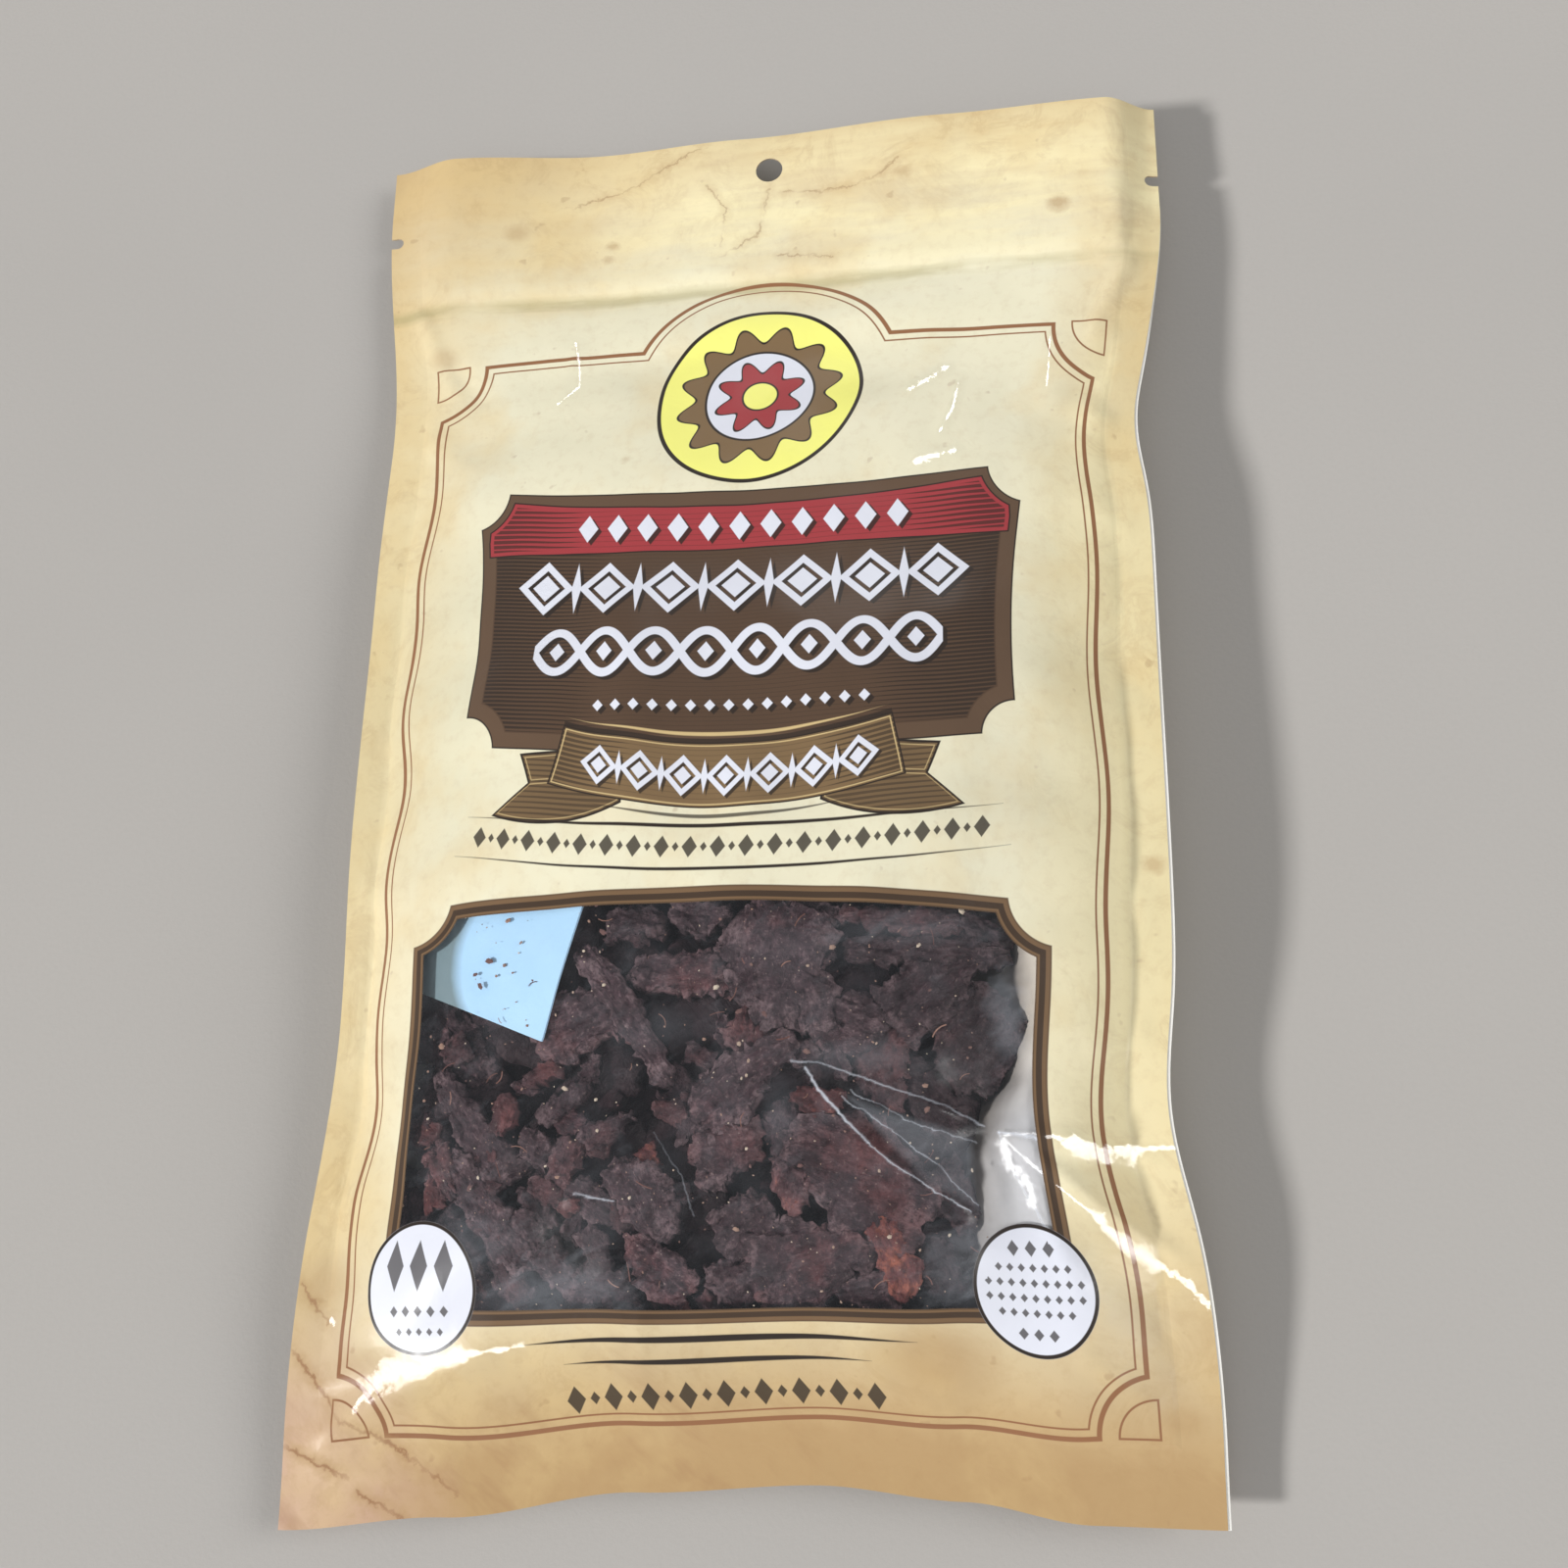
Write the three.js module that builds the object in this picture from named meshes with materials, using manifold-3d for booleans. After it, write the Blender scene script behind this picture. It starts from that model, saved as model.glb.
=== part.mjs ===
// A flat resealable pouch of dried beef strips, lying on its back with its printed front up.
// Millimetres, +Z up, +X across the pouch to the right and +Y towards its hang hole. The origin is
// under the middle of the pouch's box, on the surface that it lies on.
//
// The pouch is a film sheet 190 mm wide and 318 mm tall, welded to a like sheet round its rim and
// blown out between them by its contents. A point of the sheet is named by s, its distance to the
// right of the pouch's centre line, and t, its height above the bottom edge, both measured on the
// flat sheet. plan() says where filling the pouch moves that point across the table, seamHeight()
// how high the welded rim and the sheet's middle plane ride, and bulge() how far each sheet stands
// off that plane.
import * as THREE from "three";
import { mergeVertices } from "three/addons/utils/BufferGeometryUtils.js";
import Module from "manifold-3d";

const WIDTH = 190; // across the flat sheet
const HEIGHT = 318; // up the flat sheet
const SIDE_SEAL = 8; // welded band down each side
const BOTTOM_SEAL = 15; // welded band along the bottom
const RIM_THICKNESS = 0.8; // the two sheets where they are welded
const ZIP_LOW = 279; // foot of the press-to-close strip
const ZIP_HIGH = 290; // its top, where the upper weld begins
const ZIP_SWELL = 0.9; // how far the strip pushes each sheet out
const ZIP_EASE = 2; // over which that swell comes and goes
const BELLY = 24; // greatest stand-off of each sheet
const BELLY_FULL = 95; // t at which the belly is full
const FOOT_POWER = 2.2; // how steeply the belly rises off the bottom weld
const FLANK_POWER = 2.6; // how flat the belly is across its middle
const FLANK_EASE = 0.85; // how steeply it drops to the side welds
const REST_EASE = 2; // height over which the back eases onto the table

const HALF = WIDTH / 2;
const BAG = HALF - SIDE_SEAL; // half width of the hollow between the side welds

// How the sheet's middle plane rides above the table up the centre line, as [t, height].
const SEAM_RIDE = [[0, 7], [60, 13], [130, 17], [200, 15], [270, 10], [HEIGHT, 10]];
// The share of the belly's height that is left above where it is full, as [t, share].
const BELLY_FADE = [[BELLY_FULL, 1], [160, 0.9], [215, 0.55], [258, 0.2], [ZIP_LOW, 0.03], [ZIP_HIGH, 0]];
// How far the filled belly carries the print sideways, as [t, distance to the right].
const SWAY = [[0, -0.5], [40, -2.8], [115, -2.8], [150, -0.8], [215, -0.6], [245, 1.8], [HEIGHT, 2]];

// How far filling draws each side edge in, as [t, distance], and the single dents in the edges.
const LEFT_PULL = [[15, 0], [100, 6.6], [235, 6.6], [305, 0]];
const RIGHT_PULL = [[15, 1], [100, 6.6], [235, 6.6], [290, 0]];
const LEFT_DENTS = [{ t: 108, depth: 0.9, reach: 26 }];
const RIGHT_DENTS = [{ t: 231, depth: 2.2, reach: 14 }, { t: 80, depth: 3, reach: 20 }];
// How far filling draws the bottom edge up, as [s, distance], and how far up the sheet that reaches.
const BOTTOM_BOW = [[-HALF, -3], [-60, 0.3], [-20, 6], [17, 8.2], [45, 5.9], [70, 2.3], [HALF, 2.1]];
const BOTTOM_REACH = 70;
const TWIST = { foot: 1, head: 5.5 }; // the right edge rides higher than the left, most at the head
// How the top edge waves above the table, as [s, height], and where that wave starts up the sheet.
const HEAD_WAVE = [[-HALF, 5], [-79, 10], [-44, 7], [-7, 10], [43, 14.4], [82, 16.6], [HALF, 10.7]];
const WAVE_FOOT = 240;

const HOLE = { t: 308.5, radius: 3.3 };
const NOTCH = { t: 297.5, depth: 3.2, radius: 1.4 };
const PUNCH_SIDES = 12; // straight sides of each half turn of their outlines

const MESH_STEP = 6.6; // most between two neighbouring columns or rows of the mesh
const HAIR = 1e-6;

// The dried strips that press against the sheets, placed by a low-discrepancy rule, and the share
// of their lumps that shows, as [t, share].
const STRIPS = {
  count: 24,
  across: 70, // half of the width they are spread over
  low: 26,
  high: 186,
  lengths: [15, 29],
  widths: [6.5, 11],
  heights: [0.8, 2.2],
  turn: 137.5, // degrees from one strip to the next
};
const STRIPS_SHOW = [[BOTTOM_SEAL, 0], [45, 1], [175, 1], [215, 0]];
// Steps of low-discrepancy sequences: two that cover a plane evenly, and one that covers a line.
const SPREAD_S = 0.7548776662466927;
const SPREAD_T = 0.5698402909980532;
const SPREAD_SIZE = 0.6180339887498949;

const clamp = (x, low = 0, high = 1) => Math.min(high, Math.max(low, x));
const mix = (a, b, share) => a + (b - a) * share;
const fraction = (x) => x - Math.floor(x);
const bell = (x, centre, reach) => Math.exp(-(((x - centre) / reach) ** 2));

// 0 below from, 1 above to, with a smooth step between.
function step(from, to, x) {
  const share = clamp((x - from) / (to - from));
  return share * share * (3 - 2 * share);
}

// A smooth curve through [x, value] points, flat at each of them.
function through(points, x) {
  let value = points[0][1];
  for (let i = 1; i < points.length; i++) {
    const [from, before] = points[i - 1];
    const [to, after] = points[i];
    if (x >= from) value = mix(before, after, step(from, to, x));
  }
  return value;
}

// Half of the filled pouch's width at t, on the side that s is on.
function halfWidth(s, t) {
  const [pull, dents] = s > 0 ? [RIGHT_PULL, RIGHT_DENTS] : [LEFT_PULL, LEFT_DENTS];
  const dented = dents.reduce((sum, dent) => sum + dent.depth * bell(t, dent.t, dent.reach), 0);
  return HALF - through(pull, t) - dented;
}

// Where the point (s, t) of the sheet lies across the table.
function plan(s, t) {
  const share = s / HALF;
  const x = share * halfWidth(s, t) + through(SWAY, t) * (1 - share ** 4);
  const y = t - HEIGHT / 2 + through(BOTTOM_BOW, s) * (1 - step(0, BOTTOM_REACH, t));
  return [x, y];
}

// Height of the welded rim, and of the plane that the two sheets stand off.
function seamHeight(s, t) {
  const twist = mix(TWIST.foot, TWIST.head, (t / HEIGHT) ** 2) * (s / HALF);
  return mix(through(SEAM_RIDE, t) + twist, through(HEAD_WAVE, s), step(WAVE_FOOT, HEIGHT, t));
}

// The strips that show through the sheet as long low lumps.
function strips() {
  const made = [];
  for (let i = 1; i <= STRIPS.count; i++) {
    const size = fraction(i * SPREAD_SIZE);
    made.push({
      s: mix(-STRIPS.across, STRIPS.across, fraction(i * SPREAD_S)),
      t: mix(STRIPS.low, STRIPS.high, fraction(i * SPREAD_T)),
      angle: THREE.MathUtils.degToRad(i * STRIPS.turn),
      length: mix(...STRIPS.lengths, size),
      width: mix(...STRIPS.widths, fraction(size * 7)),
      height: mix(...STRIPS.heights, fraction(size * 13)),
    });
  }
  return made;
}
const PRESSING = strips();

function lumps(s, t) {
  let height = 0;
  for (const strip of PRESSING) {
    const along = (s - strip.s) * Math.cos(strip.angle) + (t - strip.t) * Math.sin(strip.angle);
    const across = (t - strip.t) * Math.cos(strip.angle) - (s - strip.s) * Math.sin(strip.angle);
    height += strip.height * bell(along, 0, strip.length) * bell(across, 0, strip.width);
  }
  return height;
}

// How far a sheet stands off the seam plane: the belly, what presses on it, and the zip strip.
function bulge(s, t) {
  const flank = clamp(1 - (Math.abs(s) / BAG) ** FLANK_POWER) ** FLANK_EASE;
  const filled = 1 - (1 - clamp((t - BOTTOM_SEAL) / (BELLY_FULL - BOTTOM_SEAL))) ** FOOT_POWER;
  const belly = BELLY * filled * through(BELLY_FADE, t);
  const pressed = lumps(s, t) * through(STRIPS_SHOW, t);
  const zip = step(ZIP_LOW - ZIP_EASE, ZIP_LOW, t) * (1 - step(ZIP_HIGH - ZIP_EASE, ZIP_HIGH, t));
  return (belly + pressed) * flank + ZIP_SWELL * zip * clamp((BAG - Math.abs(s)) / ZIP_EASE);
}

const frontHeight = (s, t) => seamHeight(s, t) + RIM_THICKNESS / 2 + bulge(s, t);

// The back sags onto the table and lies flat there.
function backHeight(s, t) {
  const free = seamHeight(s, t) - RIM_THICKNESS / 2 - bulge(s, t);
  if (free > REST_EASE) return free;
  return free < -REST_EASE ? 0 : (free + REST_EASE) ** 2 / (4 * REST_EASE);
}

// Marks through all of the given ones, evenly spaced between each two and at most MESH_STEP apart.
function marks(...stops) {
  const made = [stops[0]];
  for (let i = 1; i < stops.length; i++) {
    const count = Math.ceil((stops[i] - stops[i - 1]) / MESH_STEP - HAIR);
    for (let k = 1; k <= count; k++) made.push(mix(stops[i - 1], stops[i], k / count));
  }
  return made;
}

// The mesh's columns and rows, with one on each edge of a weld and of the zip strip's swell.
const COLUMNS = marks(-HALF, -BAG, BAG, HALF);
const ROWS = marks(0, BOTTOM_SEAL, ZIP_LOW - ZIP_EASE, ZIP_LOW, ZIP_HIGH - ZIP_EASE, ZIP_HIGH, HEIGHT);

// Both sheets and the rim between them, as one closed body.
function filledPouch() {
  const across = COLUMNS.length;
  const up = ROWS.length;
  const layer = across * up;
  const positions = [];
  for (const height of [frontHeight, backHeight])
    for (const t of ROWS) for (const s of COLUMNS) positions.push(...plan(s, t), height(s, t));

  const index = [];
  const quad = (a, b, c, d) => index.push(a, b, c, a, c, d);
  for (let row = 0; row < up - 1; row++)
    for (let column = 0; column < across - 1; column++) {
      const at = row * across + column;
      quad(at, at + 1, at + 1 + across, at + across);
      quad(layer + at, layer + at + across, layer + at + 1 + across, layer + at + 1);
    }
  const rim = [];
  for (let column = 0; column < across - 1; column++) rim.push(column);
  for (let row = 0; row < up - 1; row++) rim.push(row * across + across - 1);
  for (let column = across - 1; column > 0; column--) rim.push((up - 1) * across + column);
  for (let row = up - 1; row > 0; row--) rim.push(row * across);
  rim.forEach((at, i) => {
    const next = rim[(i + 1) % rim.length];
    quad(at, layer + at, layer + next, next);
  });

  const geometry = new THREE.BufferGeometry();
  geometry.setAttribute("position", new THREE.Float32BufferAttribute(positions, 3));
  geometry.setIndex(index);
  return geometry;
}

const wasm = await Module();
wasm.setup();

// A closed geometry as a solid that can be cut.
function solidOf(geometry) {
  const bare = geometry.clone();
  bare.deleteAttribute("normal");
  bare.deleteAttribute("uv");
  const merged = mergeVertices(bare, HAIR);
  return new wasm.Manifold(
    new wasm.Mesh({
      numProp: 3,
      vertProperties: new Float32Array(merged.attributes.position.array),
      triVerts: new Uint32Array(merged.index.array),
    }),
  );
}

function geometryOf(solid) {
  const mesh = solid.getMesh();
  const geometry = new THREE.BufferGeometry();
  geometry.setAttribute("position", new THREE.Float32BufferAttribute(mesh.vertProperties, 3));
  geometry.setIndex(new THREE.BufferAttribute(new Uint32Array(mesh.triVerts), 1));
  return geometry;
}

// A punch that passes right through the head of the pouch, with its outline round a point.
function punch(outline, [x, y]) {
  const settings = { depth: 4 * BELLY, bevelEnabled: false, curveSegments: PUNCH_SIDES };
  return solidOf(new THREE.ExtrudeGeometry(outline, settings).translate(x, y, -BELLY));
}

function hangHole() {
  return punch(new THREE.Shape().absarc(0, 0, HOLE.radius, 0, 2 * Math.PI), plan(0, HOLE.t));
}

// A round-ended slot, open at the side edge, where the pouch is torn open. side is -1 or 1.
function tearNotch(side) {
  const inner = NOTCH.radius - NOTCH.depth;
  const outline = new THREE.Shape();
  outline.moveTo(NOTCH.depth, -NOTCH.radius);
  outline.lineTo(NOTCH.depth, NOTCH.radius);
  outline.lineTo(inner, NOTCH.radius);
  outline.absarc(inner, 0, NOTCH.radius, Math.PI / 2, (3 * Math.PI) / 2);
  const points = outline.getPoints().map((point) => new THREE.Vector2(point.x * side, point.y));
  return punch(new THREE.Shape(points), plan(side * HALF, NOTCH.t));
}

const film = new THREE.MeshStandardMaterial({
  name: "printed_film",
  color: new THREE.Color(0.87, 0.78, 0.57),
  roughness: 0.35,
  metalness: 0,
});

function makePouch() {
  const cut = [hangHole(), tearNotch(-1), tearNotch(1)].reduce(
    (solid, tool) => solid.subtract(tool),
    solidOf(filledPouch()),
  );
  const pouch = new THREE.Mesh(geometryOf(cut), film);
  pouch.name = "pouch";
  const box = new THREE.Box3().setFromObject(pouch);
  const middle = box.getCenter(new THREE.Vector3());
  pouch.position.set(-middle.x, -middle.y, 0);
  return pouch;
}

const jerkyPouch = new THREE.Group();
jerkyPouch.add(makePouch());

export default jerkyPouch;
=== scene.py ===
"""A filled film pouch of beef jerky, with what shows through its clear window.

A place is named by the point (s, t) of the flat film sheet that comes to lie there, in millimetres:
s to the right of the centre line and t up from the bottom edge. Sheet says where that point lies once
the pouch is full, and the print is drawn in the same (s, t), so it follows the film.
"""

import math
import random

import bpy
import numpy as np
from mathutils import Euler, Matrix, Vector, noise


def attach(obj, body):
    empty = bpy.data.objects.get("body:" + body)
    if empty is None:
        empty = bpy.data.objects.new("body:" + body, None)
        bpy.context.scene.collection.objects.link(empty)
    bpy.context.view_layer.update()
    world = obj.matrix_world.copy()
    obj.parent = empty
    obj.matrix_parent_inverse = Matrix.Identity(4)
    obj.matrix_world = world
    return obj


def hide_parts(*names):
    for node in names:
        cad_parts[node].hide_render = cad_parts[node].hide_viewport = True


bl_info = {
    "name": "Pouch of beef jerky",
    "version": (1, 0, 0),
    "blender": (4, 5, 0),
    "location": "View3D > Sidebar > Jerky Pouch",
    "description": "Makes a printed film pouch with a clear window, what it holds, and its stage",
    "category": "Add Mesh",
}

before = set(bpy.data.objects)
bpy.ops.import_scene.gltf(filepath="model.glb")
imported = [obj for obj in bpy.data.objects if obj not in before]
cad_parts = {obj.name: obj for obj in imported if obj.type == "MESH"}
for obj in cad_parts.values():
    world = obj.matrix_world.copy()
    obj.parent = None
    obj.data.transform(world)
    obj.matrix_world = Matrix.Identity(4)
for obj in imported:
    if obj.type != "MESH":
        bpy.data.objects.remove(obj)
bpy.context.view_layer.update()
CAD_NODE = "pouch"
BODY = "root"
MM = 0.001
SEEDS = {"waves": 11, "beef": 5, "spice": 8}  # of the random draws


def srgb(red, green, blue):
    """A colour as a screen gives it, from 0 to 255, in the linear values that materials mix."""
    return tuple(
        c / 12.92 if c <= 0.04045 else ((c + 0.055) / 1.055) ** 2.4
        for c in (red / 255, green / 255, blue / 255)
    )


# The filled sheet's form, as in the solid. Lists are [t, value] or [s, value], in millimetres.
SEAM_RIDE = [[0, 7], [60, 13], [130, 17], [200, 15], [270, 10], [318, 10]]
BELLY_FADE = [[95, 1], [160, 0.9], [215, 0.55], [258, 0.2], [279, 0.03], [290, 0]]
SWAY = [[0, -0.5], [40, -2.8], [115, -2.8], [150, -0.8], [215, -0.6], [245, 1.8], [318, 2]]
LEFT_PULL = [[15, 0], [100, 6.6], [235, 6.6], [305, 0]]
RIGHT_PULL = [[15, 1], [100, 6.6], [235, 6.6], [290, 0]]
LEFT_DENTS = [(108, 0.9, 26)]  # t, depth and reach
RIGHT_DENTS = [(231, 2.2, 14), (80, 3, 20)]
# Waves of the left and the right side beside their welds: height, length over two pi, and phase
PUCKERS = [[(0.8, 5.6, 0), (0.5, 11.3, 1)], [(0.5, 7.9, 2), (0.4, 17, 0.5)]]
BOTTOM_BOW = [[-95, -3], [-60, 0.3], [-20, 6], [17, 8.2], [45, 5.9], [70, 2.3], [95, 2.1]]
BOTTOM_REACH = 70
TWIST = (1, 5.5)
HEAD_WAVE = [[-95, 5], [-79, 10], [-44, 7], [-7, 10], [43, 14.4], [82, 16.6], [95, 10.7]]
WAVE_FOOT = 240
FILM_WAVES = {"count": 14, "shortest": 14, "longest": 44}
CLOSURE = {"swell": 0.9, "ridge": 0.15, "dent": 0.5}
FOOT_POWER = 2.2
FLANK_POWER = 2.6
FLANK_EASE = 0.85
REST_EASE = 2
STRIPS = {"count": 24, "across": 70, "low": 26, "high": 186, "turn": 137.5}
STRIP_LENGTHS, STRIP_WIDTHS, STRIP_HEIGHTS = (15, 29), (6.5, 11), (0.8, 2.2)
STRIPS_SHOW = [[15, 0], [45, 1], [175, 1], [215, 0]]
SPREAD_S, SPREAD_T, SPREAD_SIZE = 0.7548776662466927, 0.5698402909980532, 0.6180339887498949
HOLE_T, HOLE_RADIUS = 308.5, 3.3
NOTCH_T, NOTCH_DEPTH, NOTCH_RADIUS = 297.5, 3.2, 1.4
CUTTER = {"middle": 10, "height": 60, "sides": 48}  # what punches the hole and the notches

# Folds of the front film: start (s, t), end (s, t), height at the start and the end, and half width
FOLDS = [
    ((17, 87.5), (56, 76.8), 0.7, 1.8, 1.7),
    ((20, 86), (33, 71.5), 0.6, 1.6, 1.8),
    ((33, 71.5), (53, 59.5), 1.6, 1.8, 1.8),
    ((26, 81), (52, 69), -0.7, -1.8, 3.6),
    ((60, 76), (96, 70), 1.2, 0.8, 2.0),
    ((61, 75), (97, 47), 1.4, 0.9, 2.0),
    ((62, 72), (72, 44), 0.9, 0.5, 2.0),
    ((66, 62), (97, 30), -0.8, -0.5, 5.0),
    ((-88, 17), (-46, 33), 1.6, 1.0, 3.6),
    ((-90, 27), (-66, 30), 0.8, 0.3, 2.4),
    ((-93, 13), (-70, 8), 0.5, 0.2, 1.6),
    ((-90, 60), (-74, 66), 0.9, 0.2, 4.0),
    ((-91, 92), (-76, 86), 1.0, 0.2, 4.5),
    ((-92, 128), (-77, 122), 0.8, 0.2, 5.0),
    ((-88, 160), (-74, 166), 0.7, 0.1, 5.0),
    ((-88, 276), (-79, 250), 1.3, 0.6, 2.4),
    ((-83, 262), (-70, 246), -0.9, -0.3, 3.0),
    ((-84, 240), (-72, 226), 0.9, 0.2, 3.6),
    ((90, 232), (70, 240), 1.2, 0.3, 3.4),
    ((88, 252), (76, 236), -0.9, -0.3, 3.2),
    ((88, 276), (80, 254), 1.1, 0.6, 2.4),
    ((92, 205), (78, 214), 0.8, 0.2, 4.0),
    ((92, 165), (76, 160), 0.7, 0.2, 5.0),
    ((93, 120), (78, 128), 0.9, 0.2, 4.5),
    ((92, 96), (78, 92), 0.9, 0.2, 4.0),
    ((37, 240), (47, 247.5), 0.35, 0.25, 1.6),
    ((41, 220), (52, 223), 0.35, 0.25, 1.5),
    ((49.5, 243), (47, 227), 0.3, 0.2, 1.4),
    ((-47, 262), (-52, 246), 0.35, 0.2, 1.4),
    ((-15, 38), (-17, 24), 0.5, 0.3, 1.4),
    ((-4, 36), (-3, 27), 0.3, 0.2, 1.3),
    ((-30, 62), (-20, 60), 0.6, 0.4, 1.4),
    ((78, 12), (95, 20), 0.5, 0.3, 1.8),
    ((70, 33), (84, 22), 0.7, 0.4, 2.2),
]
# The clear film sinks into the gap beside the strips: the dip's middle, half sizes and depth
SINK = {"s": 60, "t": 74, "across": 9, "up": 34, "depth": 4.2}


def clamp(x, low=0.0, high=1.0):
    return np.minimum(high, np.maximum(low, x))


def step(start, end, x):
    share = clamp((x - start) / (end - start))
    return share * share * (3 - 2 * share)


def bell(x, centre, reach):
    return np.exp(-(((x - centre) / reach) ** 2))


def mix(a, b, share):
    return a + (b - a) * share


def through(points, x):
    """A smooth curve through [x, value] points, flat at each of them."""
    value = np.full(np.shape(x), float(points[0][1]))
    for (start, before), (end, after) in zip(points, points[1:]):
        value = np.where(x >= start, mix(before, after, step(start, end, x)), value)
    return value


class Sheet:
    """Where the points of the flat film lie once the pouch is filled. In and out in millimetres."""

    def __init__(self, sizes):
        self.half = sizes.width / 2 / MM
        self.height = sizes.height / MM
        self.bag = self.half - sizes.side_seal / MM
        self.bottom_seal = sizes.bottom_seal / MM
        self.zip_low = sizes.zip_low / MM
        self.zip_high = sizes.zip_high / MM
        self.belly = sizes.belly / MM
        self.gap = sizes.film / MM
        self.pressing = [self.strip(i) for i in range(1, STRIPS["count"] + 1)]
        self.waves = self.wave_set(sizes.unevenness / MM)

    @staticmethod
    def strip(i):
        """One strip of the contents that presses on the sheets, placed by an even rule."""
        size = (i * SPREAD_SIZE) % 1
        return {
            "s": mix(-STRIPS["across"], STRIPS["across"], (i * SPREAD_S) % 1),
            "t": mix(STRIPS["low"], STRIPS["high"], (i * SPREAD_T) % 1),
            "angle": math.radians(i * STRIPS["turn"]),
            "length": mix(*STRIP_LENGTHS, size),
            "width": mix(*STRIP_WIDTHS, (size * 7) % 1),
            "height": mix(*STRIP_HEIGHTS, (size * 13) % 1),
        }

    @staticmethod
    def wave_set(height):
        """Low waves over the whole sheet, as (wave number in s, wave number in t, phase, height)."""
        rng = random.Random(SEEDS["waves"])
        waves = []
        for _ in range(FILM_WAVES["count"]):
            length = rng.uniform(FILM_WAVES["shortest"], FILM_WAVES["longest"])
            turn = rng.uniform(0, math.pi)
            number = 2 * math.pi / length
            share = height * length / FILM_WAVES["longest"]
            phase = rng.uniform(0, 2 * math.pi)
            waves.append((number * math.cos(turn), number * math.sin(turn), phase, share))
        return waves

    def half_width(self, s, t):
        """How far out the rim lies on the side of s, once the filled sheet has pulled it in."""
        left, right = through(LEFT_PULL, t), through(RIGHT_PULL, t)
        for dent, depth, reach in LEFT_DENTS:
            left = left + depth * bell(t, dent, reach)
        for dent, depth, reach in RIGHT_DENTS:
            right = right + depth * bell(t, dent, reach)
        return self.half - np.where(s > 0, right, left)

    def gather(self, s, t):
        """How the side welds pucker the sheet sideways beside them."""
        beside = bell(np.abs(s), self.bag - 6, 7) * step(15, 45, t) * (1 - step(255, 285, t))
        left, right = (
            sum(height * np.sin(t / length + phase) for height, length, phase in waves)
            for waves in PUCKERS)
        return beside * np.where(s < 0, left, right)

    def plan(self, s, t):
        """Where a point lies as seen from above."""
        share = s / self.half
        x = share * self.half_width(s, t) + through(SWAY, t) * (1 - share**4) + self.gather(s, t)
        bow = through(BOTTOM_BOW, s) * (1 - step(0, BOTTOM_REACH, t))
        return x, t - (self.height + BOTTOM_BOW[0][1]) / 2 + bow

    def flat(self, x, y):
        """The flat sheet's point that plan() puts at (x, y)."""
        s, t = np.array(x, dtype=float), y + self.height / 2
        for _ in range(10):
            there_x, there_y = self.plan(s, t)
            s, t = s + x - there_x, t + y - there_y
        return s, t

    def seam(self, s, t):
        """How high the two sheets would meet."""
        twist = mix(*TWIST, (t / self.height) ** 2) * (s / self.half)
        wave = step(WAVE_FOOT, self.height, t)
        return mix(through(SEAM_RIDE, t) + twist, through(HEAD_WAVE, s), wave)

    def lumps(self, s, t):
        """The low lumps where the contents press."""
        height = 0
        for p in self.pressing:
            along = (s - p["s"]) * math.cos(p["angle"]) + (t - p["t"]) * math.sin(p["angle"])
            across = (t - p["t"]) * math.cos(p["angle"]) - (s - p["s"]) * math.sin(p["angle"])
            height = height + p["height"] * bell(along, 0, p["length"]) * bell(across, 0, p["width"])
        return height * through(STRIPS_SHOW, t)

    def bulge(self, s, t):
        """How far each sheet stands off from where they would meet."""
        flank = clamp(1 - (np.abs(s) / self.bag) ** FLANK_POWER) ** FLANK_EASE
        low = self.bottom_seal
        filled = 1 - (1 - clamp((t - low) / (BELLY_FADE[0][0] - low))) ** FOOT_POWER
        belly = self.belly * filled * through(BELLY_FADE, t)
        return (belly + self.lumps(s, t)) * flank + self.closure(s, t)

    def closure(self, s, t):
        """The swell of the press-to-close strip, which fades upwards, and the dent under it."""
        inside = clamp((self.bag - np.abs(s)) / 2)
        foot, top = self.zip_low, self.zip_high
        swell = CLOSURE["swell"] * step(foot - 3, foot + 1, t) * (1 - step(top - 3, top + 12, t))
        ridge = CLOSURE["ridge"] * bell(t, foot + 2, 1.6)
        return (swell + ridge - CLOSURE["dent"] * bell(t, foot - 4, 2.2)) * inside

    def creases(self, s, t):
        """The front film's folds and low waves, which die out towards the welds."""
        height = 0
        for (s0, t0), (s1, t1), start, end, width in FOLDS:
            long = math.hypot(s1 - s0, t1 - t0)
            along = ((s - s0) * (s1 - s0) + (t - t0) * (t1 - t0)) / long**2
            across = ((s - s0) * (t1 - t0) - (t - t0) * (s1 - s0)) / long
            ends = step(-0.12, 0.12, along) * (1 - step(0.85, 1.1, along))
            height = height + mix(start, end, clamp(along)) * ends * bell(across, 0, width)
        inside = step(self.half - 1, self.bag - 6, np.abs(s)) * step(1, 22, t) * (1 - step(262, 279, t))
        sink = bell(s, SINK["s"], SINK["across"]) * bell(t, SINK["t"], SINK["up"]) * SINK["depth"]
        waves = sum(h * np.sin(s * ks + t * kt + phase) for ks, kt, phase, h in self.waves)
        return height * step(self.half, self.bag, np.abs(s)) + inside * waves - sink

    def front(self, s, t):
        wanted = self.seam(s, t) + self.gap / 2 + self.bulge(s, t) + self.creases(s, t)
        return np.maximum(wanted, self.back(s, t) + self.gap)

    def back(self, s, t):
        """The back sheet's height, pressed flat where it rests."""
        free = self.seam(s, t) - self.gap / 2 - self.bulge(s, t)
        eased = np.where(free < -REST_EASE, 0, (free + REST_EASE) ** 2 / (4 * REST_EASE))
        return np.where(free > REST_EASE, free, eased)


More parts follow.
